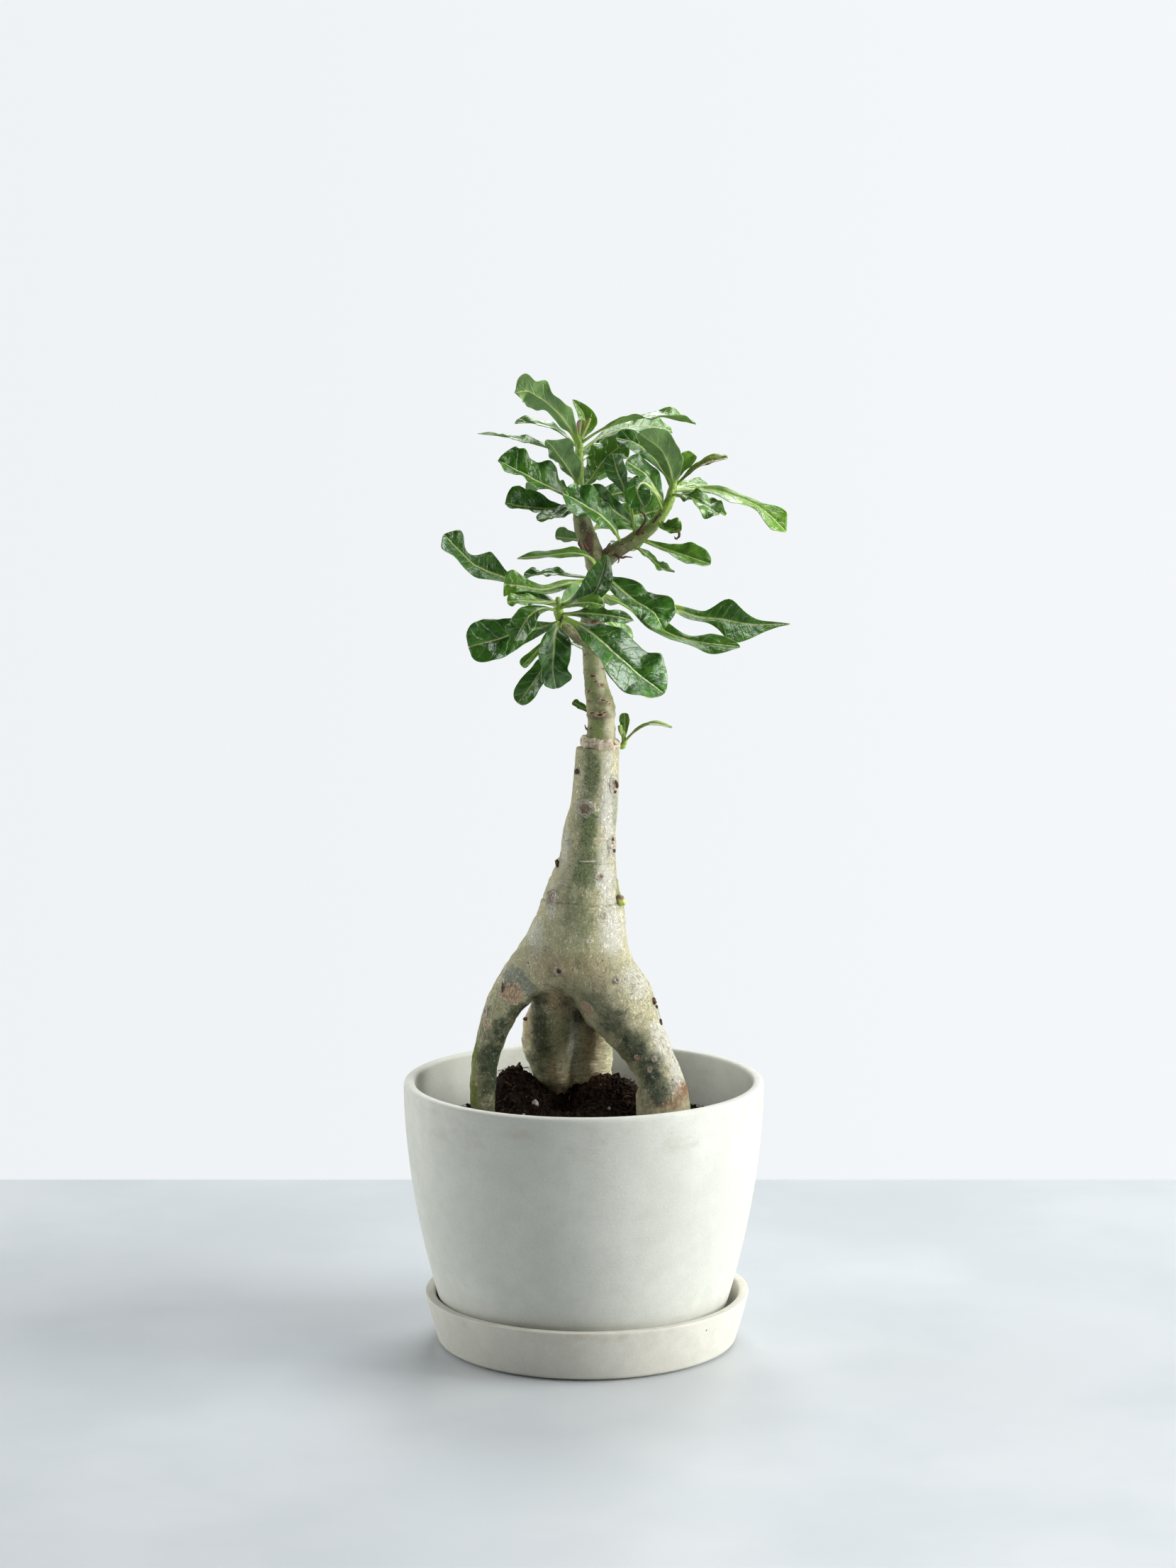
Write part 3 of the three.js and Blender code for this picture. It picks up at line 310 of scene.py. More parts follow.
def specks_effect():
    """Scattered round specks: in each cell of a spacing, a share of the cells holds one speck."""
    inputs = {"Place": "Vector", "Spacing": "Float", "Size": "Float", "Share": "Float"}
    tree, given, result = new_effect("specks", inputs, ["Mask"])
    closeness = calc(tree, "DIVIDE", 1.0, given["Spacing"])
    scaled = add(tree, "VectorMath", {0: given["Place"], "Scale": closeness}, operation="SCALE").outputs[0]
    cells = add(tree, "TexVoronoi", {"Vector": scaled, "Scale": 1, "Randomness": 1})
    chance = add(tree, "SeparateColor", {"Color": cells.outputs["Color"]}).outputs
    kept = calc(tree, "LESS_THAN", chance[0], given["Share"])
    width = calc(tree, "MULTIPLY", given["Size"], calc(tree, "ADD", chance[1], 0.4))
    reach = calc(tree, "DIVIDE", width, given["Spacing"])
    inside = between(tree, calc(tree, "DIVIDE", cells.outputs["Distance"], reach), 0.5, 1.0, 1.0, 0.0)
    tree.links.new(calc(tree, "MULTIPLY", inside, kept), result["Mask"])
    return tree


SPECKS = specks_effect()


def specks(tree, place, spacing, size, share):
    """The mask of scattered specks in a material, in millimetres."""
    inputs = {"Place": place, "Spacing": spacing, "Size": size, "Share": share}
    return add(tree, "Group", inputs, node_tree=SPECKS).outputs["Mask"]


def composite(name, pale, deep, brown, smudge_low, smudge_high):
    """The pot's matte moulded composite: mottled and finely grained, with pits, scuffs and a brown smudge
    between two heights."""
    made, tree, shader, place = new_finish(name)
    height = add(tree, "SeparateXYZ", {"Vector": place}).outputs["Z"]
    color = two_toned(tree, place, 60, deep, pale)
    cloudy = between(tree, clouds(tree, place, 9, 4, 0.6), 0.3, 0.7)
    color = laid(tree, color, toned(deep, 0.9), cloudy, 0.35)
    brushed = clouds(tree, place, 10, 4, 0.7, (1.6, 1.6, 0.1))
    color = laid(tree, color, toned(pale, 1.12), between(tree, brushed, 0.52, 0.8), 0.2)
    grain = clouds(tree, place, 0.7, 3, 0.8)
    color = laid(tree, color, toned(deep, 0.62), between(tree, grain, 0.52, 0.75), 0.42)
    color = laid(tree, color, toned(pale, 1.2), between(tree, grain, 0.48, 0.28), 0.4)
    smudge = product(tree, between(tree, height, smudge_low - 6, smudge_low + 4),
                     between(tree, height, smudge_high + 6, smudge_high - 4),
                     between(tree, clouds(tree, place, 28, 4, 0.65, (1, 1, 0.5)), 0.5, 0.72))
    color = laid(tree, color, brown, smudge, 0.42)
    scuff = between(tree, clouds(tree, place, 22, 5, 0.75, (0.05, 1, 1), 1.2), 0.68, 0.78)
    color = laid(tree, color, toned(pale, 1.3), scuff, 0.3)
    pits = specks(tree, place, 11, 0.75, 0.12)
    dust = specks(tree, place, 2.6, 0.26, 0.25)
    color = laid(tree, color, toned(deep, 0.45), dust, 0.5)
    color = laid(tree, color, PIT_SHADOW, pits, 0.85)
    normal = bumped(tree, clouds(tree, place, 1.1, 4, 0.75), 0.10)
    normal = bumped(tree, brushed, 0.06, normal)
    normal = bumped(tree, calc(tree, "SUBTRACT", 1.0, pits), 0.5, normal)
    wear = calc(tree, "ADD", calc(tree, "MULTIPLY", grain, 0.4), cloudy)
    rough = between(tree, wear, 0.2, 1.3, 0.62, 0.86)
    wire(tree, shader, Base_Color=color, Roughness=rough, Normal=normal, Specular_IOR_Level=0.32)
    return made


dish = SAUCER
wall_in = dish["rim"] - dish["wall"]
saucer_outline = rounded([
    (0, 0, 0), (dish["disc"], 0, 0.4), (dish["disc"], dish["step"], 0),
    (dish["foot"] - 1.2, dish["step"], 0.5), (dish["foot"], dish["step"] + 1.2, 0.9),
    (dish["foot"] + 4, 16, 5), (dish["rim"], dish["top"] - 0.2, 1.7), (dish["rim"] - 1.2, dish["top"], 0.9),
    (wall_in + 0.8, dish["top"], 1.4), (wall_in, dish["top"] - 1.1, 1.0),
    (dish["well"] + 1.2, dish["floor"] + 3, 3), (dish["well"] - 1.6, dish["floor"], 1.6),
    (0, dish["floor"], 0),
])
saucer_finish = composite("saucer composite", SAUCER_PALE, SAUCER_DEEP, SAUCER_SMUDGE, 24, 31)
saucer = mesh_piece("saucer_body", *turned(saucer_outline, dish["shift"]), saucer_finish)
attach(saucer, "root")
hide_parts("saucer")

# Pot
# A tapered round pot of moulded composite, matte and pale grey-green, with a thick wall that
# swells toward a softly rounded rim. A drain hole goes through its floor.

POT = {"rim": 100, "foot": 75, "wall": 6.1, "base": 6, "top": 148.5, "floor": 8, "bulge": 1.9, "drain": 7,
       "cove": 4}
POT_PALE, POT_DEEP, POT_SMUDGE = (0.632, 0.642, 0.586), (0.575, 0.588, 0.534), (0.42, 0.37, 0.27)


def pot_radius(z):
    """The pot's outer radius at a height."""
    h = (z - POT["base"]) / (POT["top"] - POT["base"])
    return POT["foot"] + (POT["rim"] - POT["foot"]) * (1 - (1 - h) ** POT["bulge"])


base, top, wall = POT["base"], POT["top"], POT["wall"]
floor = base + POT["floor"]
foot, rim = pot_radius(base), pot_radius(top)
wall_heights = np.linspace(base + 6, top - 6, 24)
inside_heights = np.linspace(top - 6, floor + 8, 20)
pot_outline = rounded([
    (POT["drain"], base, 0.6), (foot - 2, base, 0.8), (foot, base + 2, 1.4),
    *((pot_radius(z), z, 0) for z in wall_heights),
    (rim - 0.05, top - 1.4, 1.2), (rim - 1.4, top, 1.3), (rim - wall + 1.0, top, 1.2),
    (rim - wall, top - 1.2, 1.0),
    *((pot_radius(z) - wall, z, 0) for z in inside_heights),
    (pot_radius(floor) - wall - POT["cove"], floor, 3), (POT["drain"], floor, 0.8),
])
pot_finish = composite("pot composite", POT_PALE, POT_DEEP, POT_SMUDGE, 128, 144)
pot = mesh_piece("pot_body", *turned(pot_outline), pot_finish)
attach(pot, "root")
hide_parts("pot")

# Potting mix
# A coarse dark mix of coco fibre, bark chips and crumbs, heaped round the roots inside the pot. It is
# loose: a crumbly surface with many small bits lying on it, redder where fresh fibre shows.

SOIL = {"edge": 116, "mound": 23, "spread": 40, "centre": (-5, 8)}
HEAPS = [(-42, 22, 20, 11), (8, 16, 9, 8), (25, 6, 11, 9), (8, 40, 6, 16), (-20, 48, 5, 14), (-10, 1, -15, 9)]
MIX_RINGS, MIX_SECTORS = 110, 400
CHIPS, CRUMBS, FIBRES = 1600, 8600, 1700
RED_CLUMPS = [(8, 12, 6), (-8, 2, 4)]
HUMUS, PEAT = (0.014, 0.009, 0.006), (0.056, 0.031, 0.018)
RED_FIBRE, STRAW = (0.175, 0.078, 0.038), (0.42, 0.28, 0.15)
SKIRT_HEIGHTS = (90, 60, 36, 18)
CLOD_RISE, CLOD_SIZE, GRIT_RISE, GRIT_SIZE, SETTLED = 3.4, 7, 1.3, 2.1, 1.6
CHIP_SIZE, CRUMB_SHAPE = (2.2, 1.2, 0.6), (1.0, 0.85, 0.75)
FIBRE_LENGTH, FIBRE_THICK, FIBRE_ARCH = (3, 13), (0.05, 0.13), 2.6
FIBRE_STEPS, FIBRE_SIDES = 7, 4
rng = np.random.default_rng(5)


def fractal(points, size, octaves=4, rough=0.8):
    """Fractal noise at points, about -1 to 1, with its largest features about size millimetres across."""
    scaled = (np.asarray(points, float) / size).tolist()
    return np.array([noise.fractal(place, rough, 2.1, octaves) for place in scaled])


def mix_height(x, y):
    """The smooth height of the mix under its crumbs."""
    def bell(dx, dy, spread):
        return np.exp(-(dx * dx + dy * dy) / (2 * spread * spread))
    cx, cy = SOIL["centre"]
    height = SOIL["edge"] + SOIL["mound"] * bell(x - cx, y - cy, SOIL["spread"])
    return height + sum(rise * bell(x - hx, y - hy, spread) for hx, hy, rise, spread in HEAPS)


def point_values(piece, name, values):
    """Stores a number or a row of three numbers for each point of a mesh, for its material to read."""
    values = np.asarray(values, np.float32)
    if values.ndim == 1:
        piece.data.attributes.new(name, "FLOAT", "POINT").data.foreach_set("value", values)
    else:
        piece.data.attributes.new(name, "FLOAT_VECTOR", "POINT").data.foreach_set("vector", values.ravel())


def redness(x, y):
    """How much fresh reddish fibre lies at a place, from 0 to 1."""
    near = [np.exp(-((x - cx) ** 2 + (y - cy) ** 2) / (2 * spread ** 2)) for cx, cy, spread in RED_CLUMPS]
    return np.max(near, axis=0)


def ground(x, y):
    """The height of the crumbly ground that the loose bits lie on."""
    height = mix_height(x, y)
    flat = np.stack([x, y, height], 1)
    clods = CLOD_RISE * np.abs(fractal(flat, CLOD_SIZE, 4))
    return height + clods + GRIT_RISE * fractal(flat, GRIT_SIZE, 3) - SETTLED


mix_finish, tree, shader, place = new_finish("coco and bark mix")
crumbly = between(tree, clouds(tree, place, 1.4, 4, 0.7), 0.3, 0.7, -0.16, 0.16)
shade = calc(tree, "ADD", add(tree, "Attribute", attribute_name="shade").outputs["Fac"], crumbly)
color = mixed(tree, between(tree, shade, 0.1, 0.6), HUMUS, PEAT)
color = laid(tree, color, RED_FIBRE, between(tree, shade, 0.6, 0.9))
color = laid(tree, color, STRAW, between(tree, shade, 0.85, 1.0))
normal = bumped(tree, clouds(tree, place, 0.9, 4, 0.8), 0.5)
wire(tree, shader, Base_Color=color, Roughness=0.92, Normal=normal, Specular_IOR_Level=0.12)


def joined(inner, outer):
    """The faces between two rings of points."""
    count = len(inner)
    return [(inner[j], outer[j], outer[(j + 1) % count], inner[(j + 1) % count]) for j in range(count)]


def mix_surface():
    """The ground of the mix: a disc of crumbly relief with a skirt down to the pot's floor."""
    reach = pot_radius(SOIL["edge"]) - POT["wall"] - 0.15
    ring, sector = np.meshgrid(np.arange(1, MIX_RINGS + 1), np.arange(MIX_SECTORS), indexing="ij")
    turn = 2 * math.pi * sector / MIX_SECTORS
    radius = reach * ring / MIX_RINGS
    x, y = (radius * np.cos(turn)).ravel(), (radius * np.sin(turn)).ravel()
    points = np.stack([x, y, ground(x, y)], 1).tolist()
    rings = [list(range(i * MIX_SECTORS, (i + 1) * MIX_SECTORS)) for i in range(MIX_RINGS)]
    faces = [face for inner, outer in zip(rings, rings[1:]) for face in joined(inner, outer)]
    middle = len(points)
    points.append((0, 0, float(mix_height(0.0, 0.0))))
    faces += [(middle, j, (j + 1) % MIX_SECTORS) for j in range(MIX_SECTORS)]
    edge = rings[-1]
    for z in SKIRT_HEIGHTS:
        below = list(range(len(points), len(points) + MIX_SECTORS))
        inside = pot_radius(z) - POT["wall"] - 0.5
        points += [(inside * math.cos(angle), inside * math.sin(angle), z) for angle in turn[0]]
        faces += joined(edge, below)
        edge = below
    faces.append(tuple(reversed(edge)))
    made = mesh_piece("mix_surface", points, faces, mix_finish)
    co = np.array(points)
    point_values(made, "shade", 0.22 + 0.16 * fractal(co, 7, 3) + 0.42 * redness(co[:, 0], co[:, 1]))
    return made


def on_the_mix(count):
    """Random places on the mix and how red each is, from the pot's middle to its wall."""
    reach = (pot_radius(SOIL["edge"]) - POT["wall"] - 3.5) * np.sqrt(rng.random(count))
    turn = 2 * math.pi * rng.random(count)
    x, y = reach * np.cos(turn), reach * np.sin(turn)
    return x, y, ground(x, y), redness(x, y)


def spin(shape):
    """Points turned by a random rotation."""
    axes, _ = np.linalg.qr(rng.normal(size=(3, 3)))
    if np.linalg.det(axes) < 0:
        axes[:, 0] *= -1
    return shape @ axes.T


def litter(name, count, make, faces_each, shade_of, smooth=False):
    """Many small loose bits as one mesh. make(k) gives one bit's points round its own middle."""
    x, y, z, red = on_the_mix(count)
    points, faces, shades = [], [], []
    for k in range(count):
        bit = make(k)
        base = len(points)
        lift = 0.35 * np.ptp(bit[:, 2]) - 0.4
        points += (bit + (x[k], y[k], z[k] + lift)).tolist()
        faces += [tuple(base + corner for corner in face) for face in faces_each]
        shades += [shade_of(red[k])] * len(bit)
    made = mesh_piece(name, points, faces, mix_finish, smooth)
    point_values(made, "shade", shades)
    return made


BLOCK = np.array([(x, y, z) for z in (-1, 1) for y in (-1, 1) for x in (-1, 1)], float)
GOLD = (1 + 5 ** 0.5) / 2
PEBBLE = np.array([(0, s, t * GOLD) for s in (-1, 1) for t in (-1, 1)]
                  + [(s, t * GOLD, 0) for s in (-1, 1) for t in (-1, 1)]
                  + [(t * GOLD, 0, s) for s in (-1, 1) for t in (-1, 1)], float) / math.hypot(1, GOLD)


def pebble_faces():
    """The twenty triangles of the pebble's corners, pointing out."""
    near = 1.1
    gap = np.linalg.norm(PEBBLE[:, None] - PEBBLE[None], axis=2)
    found = []
    for a in range(12):
        for b in range(a + 1, 12):
            for c in range(b + 1, 12):
                if gap[a, b] < near and gap[b, c] < near and gap[a, c] < near:
                    out = np.cross(PEBBLE[b] - PEBBLE[a], PEBBLE[c] - PEBBLE[a]) @ PEBBLE[a]
                    found.append((a, b, c) if out > 0 else (a, c, b))
    return found


PEBBLE_FACES = pebble_faces()


def chip(k):
    """A flat angular chip of bark."""
    size = rng.uniform(0.35, 1.0, 3) * CHIP_SIZE
    return spin((BLOCK + rng.uniform(-0.3, 0.3, BLOCK.shape)) * size)


def crumb(k):
    """A small ragged crumb."""
    size = rng.uniform(0.35, 1.35) * np.array(CRUMB_SHAPE)
    return spin(PEBBLE * size * rng.uniform(0.6, 1.3, (12, 1)))


def tube_faces(rows, sides):
    """The faces round and along a tube's rings of points, with both ends closed."""
    rings = [list(range(i * sides, (i + 1) * sides)) for i in range(rows)]
    faces = [(a[j], a[(j + 1) % sides], b[(j + 1) % sides], b[j])
             for a, b in zip(rings, rings[1:]) for j in range(sides)]
    return faces + [tuple(reversed(rings[0])), tuple(rings[-1])]


def fibre(k):
    """A wiry coco fibre that arches over the mix."""
    length = rng.uniform(*FIBRE_LENGTH)
    thick = rng.uniform(*FIBRE_THICK)
    turn, bend, rise = rng.uniform(0, 2 * math.pi), rng.uniform(-1.4, 1.4), rng.uniform(0.1, 1.0)
    points = []
    for i in range(FIBRE_STEPS):
        s = i / (FIBRE_STEPS - 1) - 0.5
        way = turn + bend * s
        arch = FIBRE_ARCH * rise * (0.25 - s * s) * 4
        centre = np.array([length * s * math.cos(way), length * s * math.sin(way), arch])
        for j in range(FIBRE_SIDES):
            angle = 2 * math.pi * j / FIBRE_SIDES
            across = math.cos(angle) * np.array([-math.sin(way), math.cos(way), 0])
            points.append(centre + thick * (across + math.sin(angle) * np.array([0, 0, 1])))
    return np.array(points)


mix_pieces = [
    mix_surface(),
    litter("mix_chips", CHIPS, chip, BOX_FACES, lambda red: rng.beta(1.2, 4.5) + 0.4 * red),
    litter("mix_crumbs", CRUMBS, crumb, PEBBLE_FACES, lambda red: rng.beta(1.2, 5.5) + 0.5 * red, True),
    litter("mix_fibres", FIBRES, fibre, tube_faces(FIBRE_STEPS, FIBRE_SIDES),
           lambda red: rng.uniform(0.1, 0.9) + 0.2 * red),
]
for piece in mix_pieces:
    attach(piece, "root")
    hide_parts("soil")

# White grains
# Perlite in the mix: soft, rounded, chalky grains of blown volcanic glass, two to five millimetres
# across. They were stirred in with the mix and lie loose on it.

# Each grain's place on the mix and its size.
GRAINS = [
    (-27, -2, 2.3), (-33, -17, 1.2), (14, -14, 1.1), (-12, -30, 1.4), (2, 52, 1.8), (30, 44, 1.5),
    (-48, 44, 1.6), (60, 30, 1.3), (-66, 8, 1.4), (55, -34, 1.7), (-18, 63, 1.5),
]
CHALK_GREY, CHALK_WHITE = (0.36, 0.33, 0.29), (0.62, 0.6, 0.56)

perlite, tree, shader, place = new_finish("perlite")
chalk = two_toned(tree, place, 1.2, CHALK_GREY, CHALK_WHITE)
wire(tree, shader, Base_Color=chalk, Roughness=0.95, Normal=bumped(tree, clouds(tree, place, 0.5, 3), 0.25))
points, faces = [], []
for x, y, size in GRAINS:
    base = len(points)
    z = float(mix_height(np.float64(x), np.float64(y))) + 0.5 * size
    points += (spin(PEBBLE * size * rng.uniform(0.8, 1.2, (12, 1))) + (x, y, z)).tolist()
    faces += [tuple(base + corner for corner in face) for face in PEBBLE_FACES]
grains = mesh_piece("perlite_grains", points, faces, perlite, smooth=False)
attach(grains, "root")

# Rootstock
# The stock grew as one piece: a swollen neck on a left leg, a right leg and a two-lobed back root,
# with smooth grey-green skin, corky scars where roots and twigs were cut, and small dry buds.

# Each limb is a row of places (x, y, z) with the limb's radius there.
TRUNK = [
    (8, 0, 338, 11), (7.4, 0, 326, 11.6), (6.6, 0, 312, 12), (5.6, 0, 300, 12.4), (3, 0, 285, 14),
    (2, 0, 270, 15.4), (-0.6, 0, 252, 19.8), (-1, 1, 240, 23.2), (-2.8, 2, 226, 25), (-3.2, 2, 217, 21),
]
LEFT_LEG = [
    (-16, -3, 218.6, 18.8), (-32.6, -6, 206.4, 13.2), (-43.6, -7, 192, 10.4), (-50.2, -7, 175, 8),
    (-54.8, -7, 158, 7.2), (-55.8, -7, 138, 6.8), (-54, -7, 106, 5.5),
]
RIGHT_LEG = [
    (7, -4, 212, 18.4), (17.4, -9, 195, 20.4), (27, -13, 181, 16.4), (32.2, -15, 172, 14.2),
    (38, -19, 162, 12.4), (43, -21.5, 151, 12.4), (43.4, -23, 137, 15.4), (44.2, -23, 124, 14),
    (45, -22, 106, 7),
]
BACK_LOBE = [
    (-13, -4, 212, 9.5), (-14.5, -2, 202, 10.4), (-16, 3.5, 190, 12.8), (-18, 11.5, 178, 14.8),
    (-19.2, 19, 165, 15.2), (-17, 23.5, 151, 12.8), (-13, 25, 138, 9.5), (-12, 25, 106, 6),
]
BACK_ROOT = [
    (1, 2, 206, 12), (2.4, 10, 190, 12.2), (3.6, 18, 175, 12), (4.4, 22, 160, 11.6), (4.8, 23, 146, 11),
    (5, 23, 130, 9), (5, 22, 106, 6),
]
STOCK_TOP = 333.5
BARK_BLEND, BARK_NECK, BARK_GROOVE, BARK_FORK = 11, 9, 3.5, 2.5
BARK_LOW, BARK_HIGH, BARK_CELL = (-74, -50, 96), (74, 50, 345), 2.2
# Level creases round the neck: the height and the depth of each.
CREASES = [(249.5, 0.7), (262, 0.4), (272, 0.4), (240, 0.3)]


def through(points, shares):
    """Places and directions on a smooth line through points, at shares of the way from first to last."""
    known = np.asarray(points, float)
    line = np.vstack([2 * known[0] - known[1], known, 2 * known[-1] - known[-2]])
    step = np.clip(np.asarray(shares, float), 0, 1) * (len(known) - 1)
    i = np.minimum(step.astype(int), len(known) - 2)
    w = (step - i)[:, None]
    a, b, c, d = line[i], line[i + 1], line[i + 2], line[i + 3]
    first, last = (c - a) / 2, (d - b) / 2
    place = ((2 * w ** 3 - 3 * w ** 2 + 1) * b + (w ** 3 - 2 * w ** 2 + w) * first
             + (3 * w ** 2 - 2 * w ** 3) * c + (w ** 3 - w ** 2) * last)
    way = ((6 * w ** 2 - 6 * w) * b + (3 * w ** 2 - 4 * w + 1) * first
           + (6 * w - 6 * w ** 2) * c + (3 * w ** 2 - 2 * w) * last)[:, :3]
    return place, way / np.linalg.norm(way, axis=1, keepdims=True)


def limb_distance(limb, at):
    """The distance from points to a limb of (x, y, z, radius) points, below zero inside it."""
    nearest = np.full(len(at), np.inf)
    for start, end in zip(limb[:-1], limb[1:]):
        start, end = np.asarray(start), np.asarray(end)
        way = end[:3] - start[:3]
        h = np.clip((at - start[:3]) @ way / (way @ way), 0, 1)
        away = np.linalg.norm(at - start[:3] - h[:, None] * way, axis=1)
        nearest = np.minimum(nearest, away - start[3] - h * (end[3] - start[3]))
    return nearest


def blended(a, b, reach):
    """The lesser of two distances, rounded where they are within reach of each other."""
    near = np.maximum(reach - np.abs(a - b), 0) / reach
    return np.minimum(a, b) - near * near * reach / 4


def bark_field(at, fine=1):
    """The distance from points to the rootstock's skin, with each limb drawn in fine steps."""
    def limb(points):
        return limb_distance(through(points, np.linspace(0, 1, (len(points) - 1) * fine + 1))[0], at)
    back = blended(limb(BACK_LOBE), limb(BACK_ROOT), BARK_GROOVE)
    legs = blended(limb(LEFT_LEG), limb(RIGHT_LEG), BARK_BLEND)
    upper = np.maximum(limb(TRUNK), at[:, 2] - STOCK_TOP)
    front = blended(upper, legs, BARK_BLEND)
    return blended(front, blended(upper, back, BARK_NECK), BARK_FORK)


def skin(field, low, high, cell):
    """Points and four-sided faces of the closed surface where a field is zero."""
    axes = [np.arange(a, b + cell, cell) for a, b in zip(low, high)]
    grid = np.stack(np.meshgrid(*axes, indexing="ij"), -1)
    value = field(grid.reshape(-1, 3)).reshape(grid.shape[:3])
    total = np.zeros([n - 1 for n in value.shape] + [3])
    count = np.zeros(total.shape[:3], int)
    edges = []
    for axis in range(3):
        order = (axis, (axis + 1) % 3, (axis + 2) % 3)
        turned_value = value.transpose(order)
        a, b = turned_value[:-1], turned_value[1:]
        cross = (a < 0) != (b < 0)
        share = np.where(cross, a / np.where(cross, a - b, 1), 0)
        spot = grid.transpose(*order, 3)[:-1].copy()
        spot[..., axis] += share * cell
        spot *= cross[..., None]
        sums, counts = total.transpose(*order, 3), count.transpose(order)
        for p in (0, 1):
            for q in (0, 1):
                sums += spot[:, p:p + sums.shape[1], q:q + sums.shape[2]]
                counts += cross[:, p:p + sums.shape[1], q:q + sums.shape[2]]
        edges.append((order, cross, a < 0))
    index = np.full(count.shape, -1)
    index[count > 0] = np.arange(np.count_nonzero(count))
    points = total[count > 0] / count[count > 0][:, None]
    faces = []
    for order, cross, inside in edges:
        at = index.transpose(order)
        i, j, k = np.nonzero(cross[:, 1:-1, 1:-1])
        j, k = j + 1, k + 1
        quad = np.stack([at[i, j, k], at[i, j - 1, k], at[i, j - 1, k - 1], at[i, j, k - 1]], 1)
        outward = inside[i, j, k][:, None]
        faces += np.where(outward, quad, quad[:, ::-1]).tolist()
    return points, faces


def finer(points, faces):
    """The same surface with each face cut in four and smoothed."""
    mesh = bpy.data.meshes.new("coarse")
    mesh.from_pydata(points.tolist(), [], faces)
    holder = bpy.data.objects.new("coarse", mesh)
    bpy.context.scene.collection.objects.link(holder)
    holder.modifiers.new("finer", "SUBSURF").levels = 1
    made = bpy.data.meshes.new_from_object(holder.evaluated_get(bpy.context.evaluated_depsgraph_get()))
    co = np.empty(len(made.vertices) * 3)
    made.vertices.foreach_get("co", co)
    cut = [tuple(face.vertices) for face in made.polygons]
    bpy.data.objects.remove(holder)
    bpy.data.meshes.remove(mesh)
    bpy.data.meshes.remove(made)
    return co.reshape(-1, 3), cut


def outward(field, at, step=0.4):
    """The directions in which a field grows fastest."""
    slope = np.stack([field(at + step * side) - field(at - step * side) for side in np.eye(3)], 1)
    return slope / np.linalg.norm(slope, axis=1, keepdims=True)


def fine_field(at):
    """The distance to the skin, finely drawn."""
    return bark_field(at, 3)


def seen_at(points, x, z):
    """The point that the camera sees at a place (x, z) of the plane through the pot's axis."""
    eye = np.array(camera.location) / MM
    far = (points[:, 1] - eye[1]) / -eye[1]
    drawn = np.stack([eye[0] + (points[:, 0] - eye[0]) / far, eye[2] + (points[:, 2] - eye[2]) / far], 1)
    away = np.hypot(drawn[:, 0] - x, drawn[:, 1] - z)
    depth = np.where(away < away.min() + 1.2, points[:, 1], np.inf)
    return points[np.argmin(depth)]


# Cork scars as the camera sees them: (x, z, half width, half height, rise of the rim, brownness of its
# middle).
SCARS = [
    (-14, 208.5, 2.9, 2.9, 1.3, 1), (-0.5, 300.8, 6.4, 5, 1, 0.8), (-18.6, 251, 5.4, 5.4, 1.3, 0.4),
    (16.5, 280, 3, 5.8, 1.2, 0.35), (9.8, 262.3, 3.2, 1.9, 0.9, 0.8), (19.5, 204.5, 1.9, 1.9, 0.9, 0.5),
    (11.7, 241.3, 2.6, 1.5, 0.6, 0.4), (17.5, 313, 2, 5.4, 0.7, 0.6), (-37, 168, 2.2, 2.8, 0.3, 0.9),
    (-9.3, 281.2, 3, 1.7, 0.6, 0.1), (-11.9, 257.7, 3.4, 1.5, 0.5, 0.1), (40, 160, 1.8, 1.8, 0.5, 0.6),
    (33, 141, 1.6, 1.4, 0.4, 0.4), (22, 262, 1.8, 1.2, 0.4, 0.2), (-22, 222, 2.2, 1.4, 0.5, 0.6),
    (4, 226, 2.4, 1.4, 0.4, 0.5), (-30, 176, 2.4, 1.6, 0.4, 0.6), (-56, 186, 2, 3.4, 0.5, 0.7),
]

bark_points, bark_faces = finer(*skin(bark_field, BARK_LOW, BARK_HIGH, BARK_CELL))
for _ in range(3):
    bark_points = bark_points - fine_field(bark_points)[:, None] * outward(fine_field, bark_points)
bark_out = outward(fine_field, bark_points)
height = bark_points[:, 2]
legs = np.clip((228 - height) / 30, 0, 1)
# The skin's relief: swells and dents that are deeper on the legs, fine upright wrinkles all over, and
# level folds on the legs and the back lobes.
relief = (0.35 + 0.55 * legs) * fractal(bark_points, 24, 3)
relief += (0.14 + 0.26 * legs) * fractal(bark_points, 8, 3)
relief -= 0.3 * np.abs(fractal(bark_points * (1, 1, 0.4), 3.0, 3))
relief += 0.4 * legs * np.maximum(fractal(bark_points * (0.3, 0.3, 1), 5, 2), 0)
behind = np.clip((bark_points[:, 1] - 4) / 6, 0, 1) * np.clip((205 - height) / 10, 0, 1)
relief += 0.28 * behind * fractal(bark_points * (0.25, 0.25, 1.6), 2.6, 2)
crease_shade_depth = np.zeros(len(bark_points))
for crease, depth in CREASES:
    level = height - crease + 1.1 * np.sin(bark_points[:, 0] / 8) + 0.5 * fractal(bark_points, 9, 2)
    relief += depth * (0.5 * np.exp(-((level + 1.6) / 1.3) ** 2) - np.exp(-(level / 0.7) ** 2))
    crease_shade_depth = np.maximum(crease_shade_depth, depth * np.exp(-(level / 0.6) ** 2))
